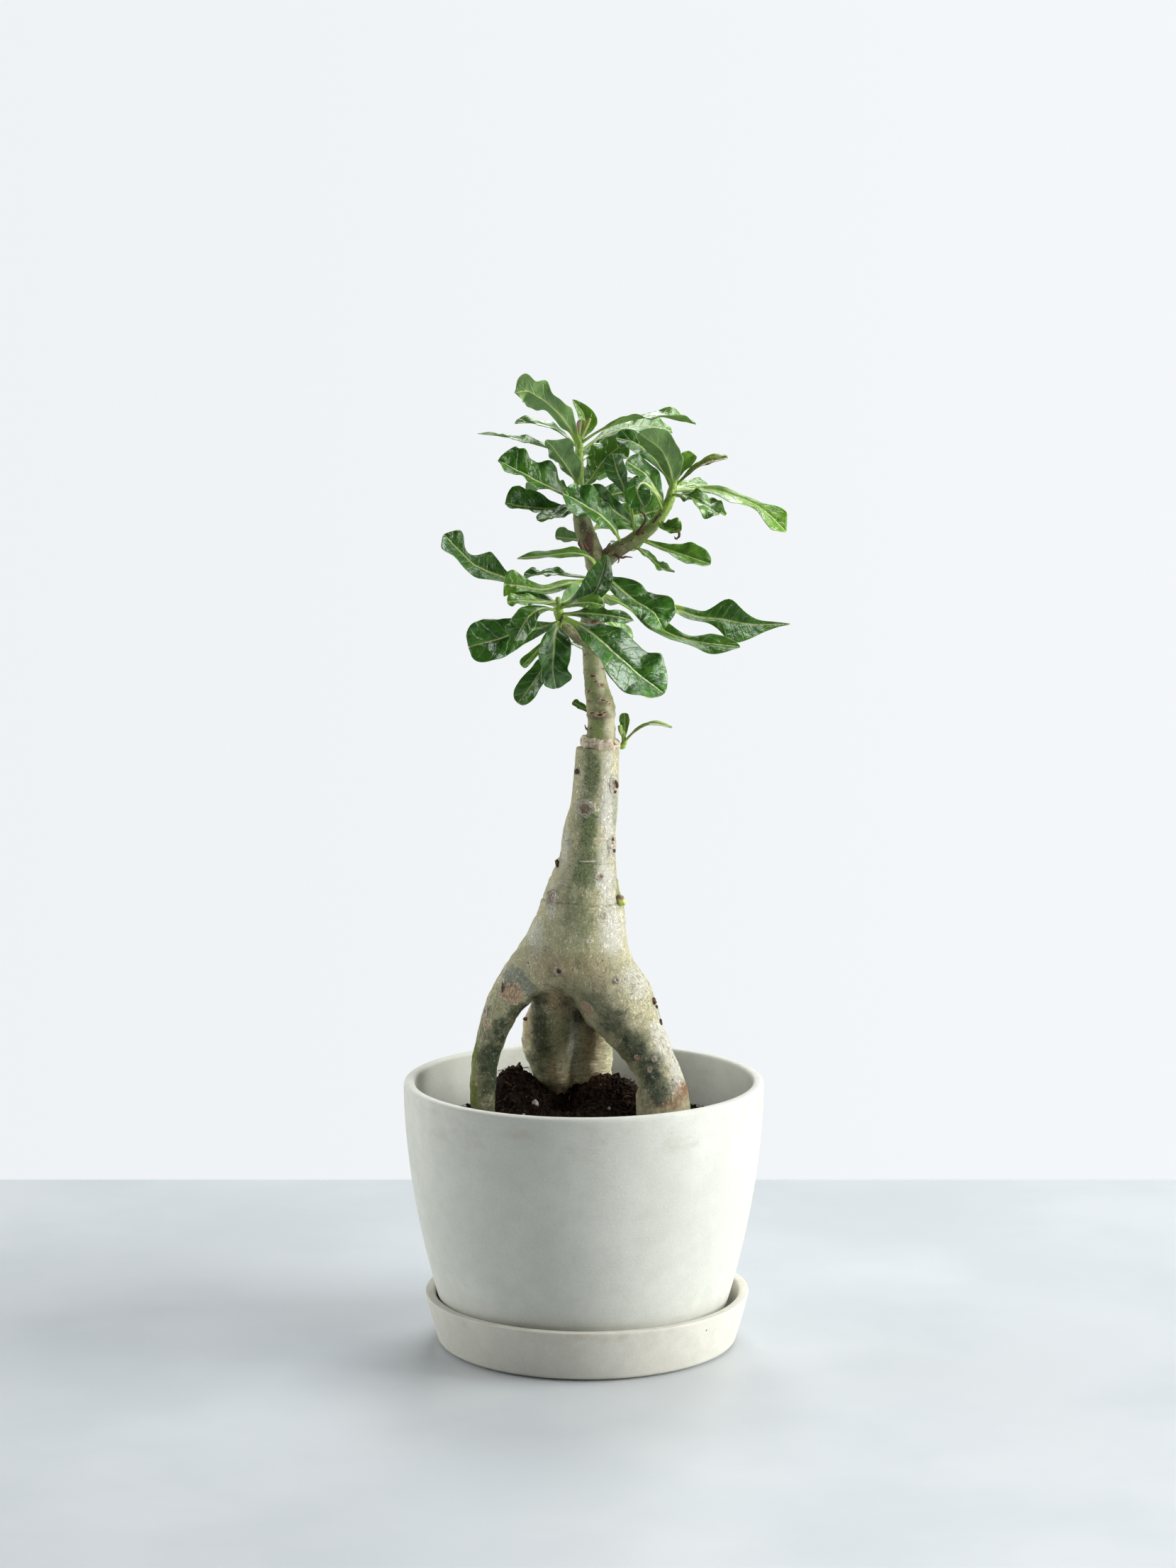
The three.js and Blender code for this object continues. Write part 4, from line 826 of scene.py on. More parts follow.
# Each scar has a knobbly raised rim round a sunk middle.
scar_reach = np.full(len(bark_points), 3.0)
scar_brown = np.zeros(len(bark_points))
for x, z, wide, tall, rise, brown in SCARS:
    centre = seen_at(bark_points, x, z)
    reach = np.linalg.norm((bark_points - centre) / (wide, max(wide, tall), tall), axis=1)
    near = reach < 2.5
    reach[near] *= 1 + 0.3 * fractal(bark_points[near] + centre, 4, 3)
    knobs = 1 + 0.8 * fractal(bark_points[near] + centre, 1.6, 2)
    ring = rise * np.exp(-((reach[near] - 0.75) / 0.3) ** 2) - 0.4 * rise * np.exp(-(reach[near] / 0.35) ** 2)
    relief[near] += ring * knobs
    nearest = reach < scar_reach
    scar_reach[nearest] = reach[nearest]
    scar_brown[nearest] = brown
relief[height > STOCK_TOP - 4] *= 0.4
bark_points = bark_points + relief[:, None] * bark_out


def patch_effect():
    """A soft ragged patch of a finish: 1 at its centre, 0 past its size."""
    inputs = {"Place": "Vector", "Centre": "Vector", "Size": "Vector", "Ragged": "Float", "Soft": "Float"}
    tree, given, result = new_effect("patch", inputs, ["Mask"])
    away = add(tree, "VectorMath", {0: given["Place"], 1: given["Centre"]}, operation="SUBTRACT").outputs[0]
    share = add(tree, "VectorMath", {0: away, 1: given["Size"]}, operation="DIVIDE").outputs[0]
    reach = add(tree, "VectorMath", {0: share}, operation="LENGTH").outputs["Value"]
    ragged = calc(tree, "SUBTRACT", cloud_nodes(tree, given["Place"], (7, 7, 7), 5, 0.7), 0.5)
    edge = calc(tree, "ADD", reach, product(tree, ragged, given["Ragged"]))
    start = calc(tree, "SUBTRACT", 1.0, given["Soft"])
    tree.links.new(between(tree, edge, start, 1.05, 1.0, 0.0), result["Mask"])
    return tree


PATCH = patch_effect()


def patches(tree, place, spots, ragged=1.4, soft=0.7):
    """The mask of several patches, each (x, y, z, width, depth, height, strength)."""
    total = None
    for *centre, width, depth, tall, strength in spots:
        size = (width, depth, tall)
        inputs = {"Place": place, "Centre": centre, "Size": size, "Ragged": ragged, "Soft": soft}
        one = product(tree, add(tree, "Group", inputs, node_tree=PATCH).outputs["Mask"], strength)
        total = one if total is None else calc(tree, "MAXIMUM", total, one)
    return total


def scar_effect():
    """The masks of a corky scar from the reach to its middle, which is torn by noise: its rim and heart."""
    inputs = {"Reach": "Float", "Place": "Vector", "Grain": "Vector", "Rough": "Float", "Torn": "Float",
              "Rim In": "Float", "Rim Out": "Float", "Heart Out": "Float"}
    tree, given, result = new_effect("cork scar", inputs, ["Reach", "Rim", "Heart", "Noise"])
    cloud = cloud_nodes(tree, given["Place"], given["Grain"], 5, given["Rough"])
    torn = product(tree, calc(tree, "SUBTRACT", cloud, 0.5), given["Torn"])
    reach = calc(tree, "ADD", given["Reach"], torn)
    tree.links.new(reach, result["Reach"])
    tree.links.new(between(tree, reach, given["Rim In"], given["Rim Out"], 1.0, 0.0), result["Rim"])
    tree.links.new(between(tree, reach, 0.45, given["Heart Out"], 1.0, 0.0), result["Heart"])
    tree.links.new(cloud, result["Noise"])
    return tree


CORK_SCAR = scar_effect()


def cork_scar(tree, reach, place, grain, rough, torn, rim_in, rim_out, heart_out):
    """What a corky scar gives a material: its torn reach, the masks of its rim and heart, and its noise."""
    inputs = {"Reach": reach, "Place": place, "Grain": (grain, grain, grain), "Rough": rough, "Torn": torn,
              "Rim In": rim_in, "Rim Out": rim_out, "Heart Out": heart_out}
    return add(tree, "Group", inputs, node_tree=CORK_SCAR).outputs


# Patches of the skin's tones, painted shade and painted highlight, each (x, y, z, width, depth, height,
# strength).
GREEN_PATCHES = [
    (4.6, -12, 322, 6.4, 12, 24, 1), (2, -14, 294, 7.6, 12, 26, 1), (0.5, -16, 270, 9.5, 12, 20, 1),
    (-3, -22, 246, 12, 12, 22, 0.65), (-6, -24, 226, 12, 12, 16, 0.35), (-14, -8, 292, 3, 10, 16, 0.6),
    (17, -6, 300, 2, 12, 20, 0.5), (0, 22, 260, 12, 16, 60, 0.8), (-4, -14, 203, 4, 10, 4, 0.4),
]
MOSS_PATCHES = [
    (4, -26, 197, 9, 14, 9, 0.6), (15, -28, 187, 12, 16, 12, 0.85), (27, -30, 173, 11, 16, 13, 1),
    (36, -32, 160, 10, 16, 13, 1), (41, -34, 148, 9, 16, 11, 1), (-36, -16, 189, 8, 12, 8, 0.9),
    (-45, -14, 178, 8, 12, 12, 1), (-50, -14, 158, 10, 14, 32, 1), (-49, -14, 128, 10, 14, 26, 1),
    (-24, 2, 176, 7, 16, 26, 0.8), (-28, 10, 152, 8, 14, 14, 0.7), (8, 36, 160, 10, 10, 26, 0.6),
    (-30, 30, 186, 14, 14, 20, 0.6), (40, -8, 160, 12, 8, 26, 0.7),
]
# Painted shade, tinted olive, where the other limbs shadow the left leg, the back lobes and the inside of the
# right leg.
PAINTED_SHADE_PATCHES = [
    (-54, -10, 150, 11, 16, 44, 0.8), (-44, -10, 184, 9, 16, 12, 0.5), (-22, 6, 172, 9, 18, 40, 0.6),
    (-10, 10, 172, 4, 18, 34, 0.35), (24, -20, 168, 10, 18, 14, 0.6), (34, -24, 146, 8, 16, 14, 0.6),
]
# Pale cream skin on the left. On the right side of the neck and right leg, and on the ridge between the back
# lobes, the cream is painted highlight.
PALE_SKIN_AND_HIGHLIGHT_PATCHES = [
    (14, -10, 300, 7, 14, 44, 1), (13, -14, 262, 9, 14, 24, 1), (17, -18, 236, 12, 18, 22, 1),
    (30, -22, 208, 12, 20, 14, 0.8), (44, -26, 180, 9, 18, 22, 1), (52, -28, 158, 8, 16, 26, 1),
    (48, -26, 172, 7, 16, 18, 0.9), (-5.5, 6, 166, 3.8, 16, 44, 1), (-11, -12, 284, 4, 12, 28, 0.7),
    (-18, -14, 252, 5, 12, 16, 0.6), (-26, -14, 232, 8, 12, 16, 0.7), (-40, -14, 206, 10, 14, 8, 0.6),
    (-2, 20, 236, 16, 12, 20, 0.5),
]
TAN_PATCHES = [
    (-12, -22, 216, 20, 14, 11, 0.7), (6, -24, 216, 14, 14, 10, 0.5), (-14, -8, 197, 10, 16, 14, 0.85),
    (5, 8, 168, 9, 16, 34, 0.85), (-31, 8, 176, 4, 14, 14, 0.7), (8, -24, 206, 6, 10, 8, 0.5),
    (48, -32, 143, 12, 14, 7, 0.9), (-14, 10, 142, 16, 16, 12, 0.7), (-38, -14, 208, 8, 12, 5, 0.5),
]
RUST_PATCHES = [
    (54, -28, 147, 8, 14, 9, 1), (44, -36, 142, 16, 12, 5, 0.8), (-12, -8, 200, 5, 12, 7, 0.7),
    (0, 2, 188, 7, 12, 14, 0.8), (-33, 8, 182, 4, 12, 9, 0.6), (-52, -12, 122, 10, 12, 8, 0.6),
    (-12, 12, 134, 16, 16, 8, 0.8),
]
LIME_PATCHES = [
    (-61, -8, 168, 4.5, 12, 22, 1), (-61, -10, 142, 4.5, 12, 24, 0.9), (19, -4, 252, 3, 9, 14, 0.5),
]
# Painted shade in the pockets of the forks between the legs and the back lobes, and dark dirt at the lobes'
# feet by the mix.
FORK_SHADE_AND_DIRT_PATCHES = [
    (-26, -11, 197, 8, 14, 8, 1), (-31, -9, 189, 6.5, 14, 7, 0.9), (-9, -14, 194, 7, 14, 6, 0.7),
    (-2, 0, 184, 6, 14, 11, 0.9), (4, 2, 174, 5, 14, 10, 0.6), (-38, -7, 181, 6, 14, 9, 0.5),
    (-20, 14, 139, 18, 16, 9, 0.75), (5, 16, 138, 12, 14, 8, 0.6),
]
SLATE_PATCHES = [(-38, -14, 209.5, 8.5, 12, 5.5, 0.9), (-31, -17, 204, 4, 8, 4.5, 0.8)]
TORN_PATCHES = [
    (-39.4, -17, 199.5, 6.4, 9, 5.8, 1), (1.2, -24, 192, 3.8, 9, 4.2, 1), (-54, -15, 182, 1.6, 4, 3.4, 0.9),
    (36, -35, 160.5, 1.8, 5, 2.2, 0.9), (29, -31, 166.5, 1.7, 5, 1.7, 0.9), (-17, 8, 154, 1.6, 5, 2.8, 0.8),
    (-20.5, 6, 145, 2.4, 5, 2.6, 0.7), (-33, -15, 178, 2.6, 6, 1.5, 0.9),
]
LENTICELS = [
    (2.1, -16, 272.9, 6, 8, 0.7, 1), (9, -14, 285, 5, 8, 1.4, 0.8), (0.9, -12, 311.6, 2, 8, 0.4, 0.8),
    (12.3, -16, 253.6, 1.5, 8, 0.5, 0.5), (0, 16, 280, 7, 8, 0.8, 0.9), (8, 14, 300, 5, 8, 0.8, 0.9),
    (-6, 20, 255, 7, 8, 0.9, 0.9),
]

# The olive tone and the wrinkle and crease tones are painted shade, the fork tone is painted shade and dirt,
# and the cream is partly painted highlight.
SKIN_DULL, SKIN_BRIGHT, WRINKLE_PAINTED_SHADE = (0.64, 0.62, 0.355), (0.90, 0.83, 0.54), (0.34, 0.36, 0.24)
PAINTED_SHADE_OLIVE, CREAM_AND_PAINTED_LIGHT, TAN, RUST = (0.20, 0.21, 0.075), (0.98, 0.95, 0.82), (0.68, 0.50, 0.29), (0.36, 0.17, 0.065)
GREEN, MOSS, LIME = (0.115, 0.190, 0.045), (0.040, 0.078, 0.030), (0.22, 0.29, 0.025)
SLATE_RIM, SLATE_DEEP, SLATE_PALE = (0.86, 0.80, 0.66), (0.30, 0.36, 0.25), (0.66, 0.66, 0.52)
PALE_GRAIN, DARK_SPECKLE, FLAKE = (0.90, 0.86, 0.70), (0.075, 0.095, 0.036), (0.90, 0.86, 0.68)
FORK_SHADE_AND_DIRT, DOT, SOIL_STAIN = (0.075, 0.062, 0.030), (0.10, 0.06, 0.035), (0.10, 0.06, 0.032)
LENTICEL, CORK_BIT, CREASE_PAINTED_SHADE = (0.90, 0.80, 0.62), (0.74, 0.58, 0.38), (0.085, 0.12, 0.035)
TORN_EDGE, TORN_BROWN, TORN_PALE = (0.92, 0.85, 0.70), (0.46, 0.29, 0.16), (0.86, 0.66, 0.44)
CORK_WHITE, CORK_BROWN, CORK_PALE = (1.0, 0.95, 0.80), (0.40, 0.28, 0.15), (0.72, 0.60, 0.40)
PITH_PALE, PITH_DARK, KNOT = (0.56, 0.38, 0.22), (0.12, 0.06, 0.03), (0.07, 0.035, 0.02)

bark, tree, shader, place = new_finish("rootstock skin")
xyz = add(tree, "SeparateXYZ", {"Vector": place}).outputs
height = xyz["Z"]
low_down = between(tree, height, 228, 204)
lobes = product(tree, between(tree, xyz["Y"], 2, 8), between(tree, height, 206, 196))
mottle = clouds(tree, place, 3.4, 6, 0.8)
fine_mottle = clouds(tree, place, 1.3, 4, 0.75)
color = two_toned(tree, place, 26, SKIN_DULL, SKIN_BRIGHT, 5, 0.65, 0.34)
# The olive patches are painted shade, and the cream patches on the right side are painted highlight.
for tint, spots, ragged, soft in ((PAINTED_SHADE_OLIVE, PAINTED_SHADE_PATCHES, 1.4, 0.8), (CREAM_AND_PAINTED_LIGHT, PALE_SKIN_AND_HIGHLIGHT_PATCHES, 1.6, 0.7),
                                  (TAN, TAN_PATCHES, 1.6, 0.8), (RUST, RUST_PATCHES, 1.4, 0.9)):
    color = laid(tree, color, tint, patches(tree, place, spots, ragged, soft))
band = product(tree, patches(tree, place, GREEN_PATCHES, 2.0, 0.7),
               between(tree, fine_mottle, 0.38, 0.62, 1.0, 0.62))
color = laid(tree, color, GREEN, band)
moss = product(tree, patches(tree, place, MOSS_PATCHES, 1.5, 0.6),
               between(tree, mottle, 0.46, 0.58, 1.0, 0.62))
color = laid(tree, color, MOSS, moss)
color = laid(tree, color, LIME, patches(tree, place, LIME_PATCHES, 1.0, 0.8))
# Painted shade in the forks, and dark dirt at the back lobes' feet.
color = laid(tree, color, FORK_SHADE_AND_DIRT, patches(tree, place, FORK_SHADE_AND_DIRT_PATCHES, 1.4, 0.9))
slate = patches(tree, place, SLATE_PATCHES, 2.0, 0.12)
color = laid(tree, color, SLATE_RIM, between(tree, slate, 0.02, 0.25))
color = laid(tree, color, mixed(tree, mottle, SLATE_DEEP, SLATE_PALE), between(tree, slate, 0.3, 0.6))

# Fine wrinkles: a net over most of the skin, level ones on the back lobes, with painted shade along their
# lines.
grain = clouds(tree, place, 1, 5, 0.62, (1, 1, 2), 1.2)
net = between(tree, calc(tree, "ABSOLUTE", calc(tree, "SUBTRACT", grain, 0.5)), 0.0, 0.11)
levels = between(tree, clouds(tree, place, 6.25, 3, 0.6, (1, 1, 2 / 17)), 0.38, 0.6)
wrinkle = add(tree, "Mix", {0: lobes, 2: net, 3: levels}, data_type="FLOAT").outputs[0]
# Painted shade darkens the wrinkle lines.
wrinkle_shade = mixed(tree, 1.0, color, WRINKLE_PAINTED_SHADE, "MULTIPLY")
color = laid(tree, color, wrinkle_shade, calc(tree, "SUBTRACT", 1.0, wrinkle), 0.3)
color = laid(tree, color, PALE_GRAIN, between(tree, grain, 0.60, 0.74), 0.2)
speckled = product(tree, between(tree, mottle, 0.53, 0.60), calc(tree, "MULTIPLY_ADD", low_down, 0.42, 0.05))
color = laid(tree, color, DARK_SPECKLE, speckled)
flakes = between(tree, clouds(tree, place, 2.1, 6, 0.85), 0.575, 0.605)
color = laid(tree, color, FLAKE, product(tree, flakes, calc(tree, "MULTIPLY_ADD", low_down, 0.65, 0.05)))
lines = product(tree, patches(tree, place, LENTICELS, 0.9, 0.5),
                between(tree, fine_mottle, 0.36, 0.5, 0.3, 1.0))
color = laid(tree, color, LENTICEL, lines)
bits = product(tree, specks(tree, place, 6.0, 0.9, 0.3), between(tree, low_down, 0.0, 1.0, 0.15, 1.0))
color = laid(tree, color, CORK_BIT, product(tree, bits, between(tree, fine_mottle, 0.4, 0.55, 0.4, 1.0)))
color = laid(tree, color, DOT, specks(tree, place, 4.4, 0.5, 0.35), 0.75)
soil_line = between(tree, calc(tree, "MULTIPLY_ADD", mottle, 16, height), 146, 131)
color = laid(tree, color, SOIL_STAIN, soil_line, 0.8)

# The scars: how far each point is from one, how brown its middle is, and how deep a crease runs there.
scar = add(tree, "Attribute", attribute_name="scar").outputs["Vector"]
to_scar, brownness, crease_shade = add(tree, "SeparateXYZ", {"Vector": scar}).outputs
# Painted shade darkens the level creases round the neck.
color = laid(tree, color, CREASE_PAINTED_SHADE, between(tree, crease_shade, 0.12, 0.9), 0.45)
torn_skin = patches(tree, place, TORN_PATCHES, 1.8, 0.1)
fibres = clouds(tree, place, 1 / 1.76, 3, 0.6, (1, 1, 32 / 7))
torn_color = mixed(tree, between(tree, fibres, 0.36, 0.60), TORN_BROWN, TORN_PALE)
color = laid(tree, color, TORN_EDGE, between(tree, torn_skin, 0.02, 0.2), 0.8)
color = laid(tree, color, torn_color, between(tree, torn_skin, 0.35, 0.6))
cork = cork_scar(tree, to_scar, place, 1.8, 0.75, 0.9, 0.85, 1.05, 0.7)
ring_way = calc(tree, "MULTIPLY_ADD", cork["Reach"], 17, calc(tree, "MULTIPLY", fine_mottle, 16))
crust = between(tree, calc(tree, "SINE", ring_way), 0.5, 1.0)
cork_color = mixed(tree, crust, CORK_WHITE, mixed(tree, fine_mottle, CORK_BROWN, CORK_PALE))
pith = product(tree, cork["Heart"], brownness)
cork_color = laid(tree, cork_color, mixed(tree, crust, PITH_PALE, PITH_DARK), pith)
color = laid(tree, color, cork_color, cork["Rim"], 0.92)
knots = product(tree, cork["Rim"], between(tree, fine_mottle, 0.60, 0.65), between(tree, brownness, 0.1, 0.4))
color = laid(tree, color, KNOT, knots)

raised = calc(tree, "MAXIMUM", calc(tree, "MAXIMUM", lines, calc(tree, "MULTIPLY", flakes, 0.5)), bits)
grooves = product(tree, cork["Rim"], calc(tree, "SUBTRACT", 1.0, crust))
normal = bumped(tree, wrinkle, 0.5)
for bumps, depth in ((fine_mottle, 0.28), (mottle, 0.4), (raised, 0.4), (grooves, 0.5)):
    normal = bumped(tree, bumps, depth, normal)
rough = between(tree, mottle, 0.3, 0.7, 0.46, 0.68)
wire(tree, shader, Base_Color=color, Roughness=rough, Normal=normal, Specular_IOR_Level=0.4)

rootstock = mesh_piece("rootstock_skin", bark_points, bark_faces, bark)
point_values(rootstock, "scar", np.stack([scar_reach, scar_brown, crease_shade_depth], 1))
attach(rootstock, "root")
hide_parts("rootstock")

# Graft ring and buds
# A corky cream collar of callus where the scion was grafted on the stock, pitted with brown, and small
# dry buds left on the stock's skin, one of them still green.

CALLUS = {"place": (9.2, 0, 335.6), "radius": 8.0, "thick": 3.0, "tall": 3.9, "tilt": -7}
CALLUS_STEPS, CALLUS_ROWS = 150, 26
CALLUS_BROWN, CALLUS_CREAM, CALLUS_PIT = (0.46, 0.36, 0.24), (0.72, 0.64, 0.50), (0.13, 0.07, 0.045)
# Dry buds where the camera sees them: (x, z, half width, half height).
DRY_BUDS = [
    (41, 193, 1.3, 1.9), (42.4, 191, 0.8, 1.2), (45.5, 181.5, 0.8, 2), (-4.2, 321, 1.3, 1.3),
    (18.6, 312, 1, 1.6), (18.2, 308.5, 0.7, 0.9), (18.9, 315, 0.6, 0.8), (-16.6, 269.5, 1.2, 1.9),
    (-15.2, 268.6, 0.8, 1), (-46, 200, 0.7, 3.2), (-33, 183, 1.2, 1), (17.5, 277, 0.8, 1),
    (17.2, 283, 0.6, 0.9),
]
# The green bud: where the camera sees it, and its lumps, each with its place and size.
GREEN_BUD = (20.4, 248.6)
BUD_LUMPS = [((0, 0, 0), (2.6, 2.4, 3.0)), ((1.2, -0.4, -1.5), (1.8, 1.7, 1.5)),
             ((-0.8, -0.6, 2.4), (1.3, 1.2, 1.2))]
BUD_DARK, BUD_BROWN = (0.045, 0.022, 0.016), (0.20, 0.11, 0.065)
BUD_GREEN, BUD_LIME, BUD_TIP = (0.38, 0.44, 0.05), (0.66, 0.68, 0.20), (0.19, 0.13, 0.07)

cork_finish, tree, shader, place = new_finish("callus cork")
crust = clouds(tree, place, 1.7, 5, 0.8)
color = mixed(tree, between(tree, crust, 0.35, 0.6), CALLUS_BROWN, CALLUS_CREAM)
pits = between(tree, clouds(tree, place, 1.5, 3, 0.6, (1.3, 1.3, 0.8), 0.6), 0.58, 0.68)
color = laid(tree, color, CALLUS_PIT, pits, 0.9)
normal = bumped(tree, crust, 0.9)
normal = bumped(tree, calc(tree, "SUBTRACT", 1.0, pits), 0.4, normal)
wire(tree, shader, Base_Color=color, Roughness=0.85, Normal=normal, Specular_IOR_Level=0.3)


def callus_ring():
    """A knobbly collar round the graft, a little lower on its right."""
    turn = np.repeat(2 * math.pi * np.arange(CALLUS_STEPS) / CALLUS_STEPS, CALLUS_ROWS)
    round_way = np.tile(2 * math.pi * np.arange(CALLUS_ROWS) / CALLUS_ROWS, CALLUS_STEPS)
    out = CALLUS["radius"] + CALLUS["thick"] * np.cos(round_way)
    flat = np.stack([out * np.cos(turn), out * np.sin(turn), CALLUS["tall"] * np.sin(round_way)], 1)
    lumps = 0.8 * fractal(flat + 40, 5, 2) + 0.55 * fractal(flat + 90, 2.2, 3)
    out_way = [np.cos(turn) * np.cos(round_way), np.sin(turn) * np.cos(round_way), np.sin(round_way)]
    placed = flat + lumps[:, None] * np.stack(out_way, 1)
    placed[:, 2] += math.tan(math.radians(CALLUS["tilt"])) * placed[:, 0]
    rings = [list(range(i * CALLUS_ROWS, (i + 1) * CALLUS_ROWS)) for i in range(CALLUS_STEPS)]
    faces = [face for inner, outer in zip(rings, rings[1:] + rings[:1]) for face in joined(inner, outer)]
    return mesh_piece("graft_ring", placed + CALLUS["place"], faces, cork_finish)


def lump(centre, size, knobs, seed):
    """A small closed knobbly lump: a finely cut pebble with noise on it."""
    ball = bmesh.new()
    bmesh.ops.create_icosphere(ball, subdivisions=3, radius=1)
    at = np.array([v.co[:] for v in ball.verts])
    faces = [tuple(v.index for v in face.verts) for face in ball.faces]
    ball.free()
    rough = 1 + knobs * fractal(at * 2 + seed * 7.3, 1.6, 3)
    return at * rough[:, None] * np.asarray(size, float) + np.asarray(centre, float), faces


def lumps_piece(name, rows, finish, knobs=0.35):
    """Several lumps as one mesh, each row (x, y, z, size in x, y and z)."""
    points, faces = [], []
    for seed, row in enumerate(rows):
        at, cut = lump(row[:3], row[3:], knobs, seed)
        faces += [tuple(len(points) + corner for corner in face) for face in cut]
        points += at.tolist()
    return mesh_piece(name, points, faces, finish)


def standing_out(x, z, proud):
    """A place on the stock's skin that the camera sees at (x, z), moved out by a distance."""
    spot = seen_at(bark_points, x, z)
    nearest = np.argmin(np.linalg.norm(bark_points - spot, axis=1))
    return spot + proud * bark_out[nearest]


dry, tree, shader, place = new_finish("dry bud")
color = two_toned(tree, place, 0.7, BUD_DARK, BUD_BROWN, 4, 0.7)
normal = bumped(tree, clouds(tree, place, 0.5, 4, 0.8), 0.5)
wire(tree, shader, Base_Color=color, Roughness=0.8, Normal=normal)
rows = [(*standing_out(x, z, 0.4 * wide), wide, wide, tall) for x, z, wide, tall in DRY_BUDS]
buds = lumps_piece("stock_buds", rows, dry, 0.5)

green, tree, shader, place = new_finish("green bud")
upper = between(tree, add(tree, "SeparateXYZ", {"Vector": place}).outputs["Z"], 250.2, 251.6)
color = laid(tree, two_toned(tree, place, 1.1, BUD_GREEN, BUD_LIME), BUD_TIP, upper)
wire(tree, shader, Base_Color=color, Roughness=0.5, Normal=bumped(tree, clouds(tree, place, 0.8, 3), 0.3))
where = standing_out(*GREEN_BUD, 1.2)
rows = [(*(where + offset), *size) for offset, size in BUD_LUMPS]
green_bud = lumps_piece("green_bud", rows, green, 0.25)

for piece in (callus_ring(), buds, green_bud):
    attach(piece, "root")
    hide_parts("rootstock")

# Scion wood
# The grafted stem: a slim woody leader with one branch to the right and a short spur to the left front,
# with olive bark, swollen rings of old leaf bases and red-brown leaf scars set in a spiral.

MAIN_WOOD = [
    (9.5, 0, 336, 8.6), (9.6, 0, 347, 7.3), (9.2, 0, 357, 7.7), (7, 0, 367, 6.4), (5.8, 0, 378, 6.1),
    (5.2, 0, 392, 6.1), (4.7, 0, 404, 6.4), (6.4, 0, 416, 5.3), (7.2, 0, 428, 5.1), (6.8, 0, 436, 5.9),
    (4.2, 0, 444, 5.2), (1.4, 0, 450.5, 5.2), (-0.4, 0, 456.5, 5.1), (-1.4, 0, 463.5, 4.2),
    (-1.8, 0, 467, 3.2),
]
RIGHT_WOOD = [
    (6, 0, 431, 4.6), (13, -1, 438.5, 4.8), (20, -2, 443.5, 4.3), (28, -3, 448.5, 4), (35.5, -4, 454, 3.6),
    (38.5, -4.3, 457, 3),
]
SPUR_WOOD = [(5, -2, 391, 3.6), (-2, -9, 395.5, 3.8), (-9.5, -16.5, 402.5, 3.4), (-11.4, -19, 406, 2.9)]

# Leaf scars that the camera sees on the old wood: (x, z, half width).
WOOD_SCARS = [
    (5.5, 385.3, 1.9), (4.2, 373.7, 2.2), (11, 368.8, 2.2), (1.9, 365.2, 1.9), (11, 360.7, 2),
    (1.4, 359.4, 1.5), (15, 358.5, 1.8), (-0.2, 384, 1.6), (5.5, 370.8, 1.3), (4, 352.5, 2),
    (8, 351.2, 2.4), (12.5, 352.5, 1.8), (3, 344.5, 1.3), (6, 404, 3), (9.4, 399, 1.7), (2, 398, 1.6),
    (7, 393, 1.8), (-3.5, 398.5, 1.5), (-0.3, 394.8, 1.8), (1.8, 392.6, 1.6), (-6.5, 401.5, 1.4),
    (11.5, 378, 1.4), (0, 376.5, 1.2), (3, 441, 1.6), (0, 452, 1.4), (5, 433, 1.5), (14, 441, 1.3),
    (20, 446, 1.2), (25, 448, 1.2), (31, 452, 1.1),
]
# Leaf scars on the wood's far side: the height of each and its way round.
BACK_SCARS = [(i * 7.6 + 344, i * 2.4 + 3.6) for i in range(16)]
# Swollen rings of old leaf bases: the height of each and how far it stands out.
SWOLLEN_RINGS = [(352, 0.5), (356, 0.3), (344, 0.3), (402, 0.6), (397, 0.3), (433, 0.3)]


def limb_grid(limb, row_mm, sides):
    """Points round a limb in rows along it, and the way out at each."""
    rough_length = sum(math.dist(a[:3], b[:3]) for a, b in zip(limb[:-1], limb[1:]))
    rows = max(8, int(rough_length / row_mm))
    place, way = through(limb, np.linspace(0, 1, rows + 1))
    side = np.cross((0, -1, 0), way)
    side /= np.linalg.norm(side, axis=1, keepdims=True)
    other = np.cross(way, side)
    turn = 2 * math.pi * np.arange(sides) / sides
    out = np.cos(turn)[None, :, None] * side[:, None] + np.sin(turn)[None, :, None] * other[:, None]
    points = place[:, None, :3] + place[:, None, 3:] * out
    return points, out


def limb_parts(limbs, row_mm, sides):
    """The points, ways out and faces of several limbs as one mesh."""
    points, outs, faces = [], [], []
    for limb in limbs:
        at, out = limb_grid(limb, row_mm, sides)
        faces += [tuple(len(points) + corner for corner in face) for face in tube_faces(len(at), sides)]
        points += at.reshape(-1, 3).tolist()
        outs += out.reshape(-1, 3).tolist()
    return np.array(points), np.array(outs), faces


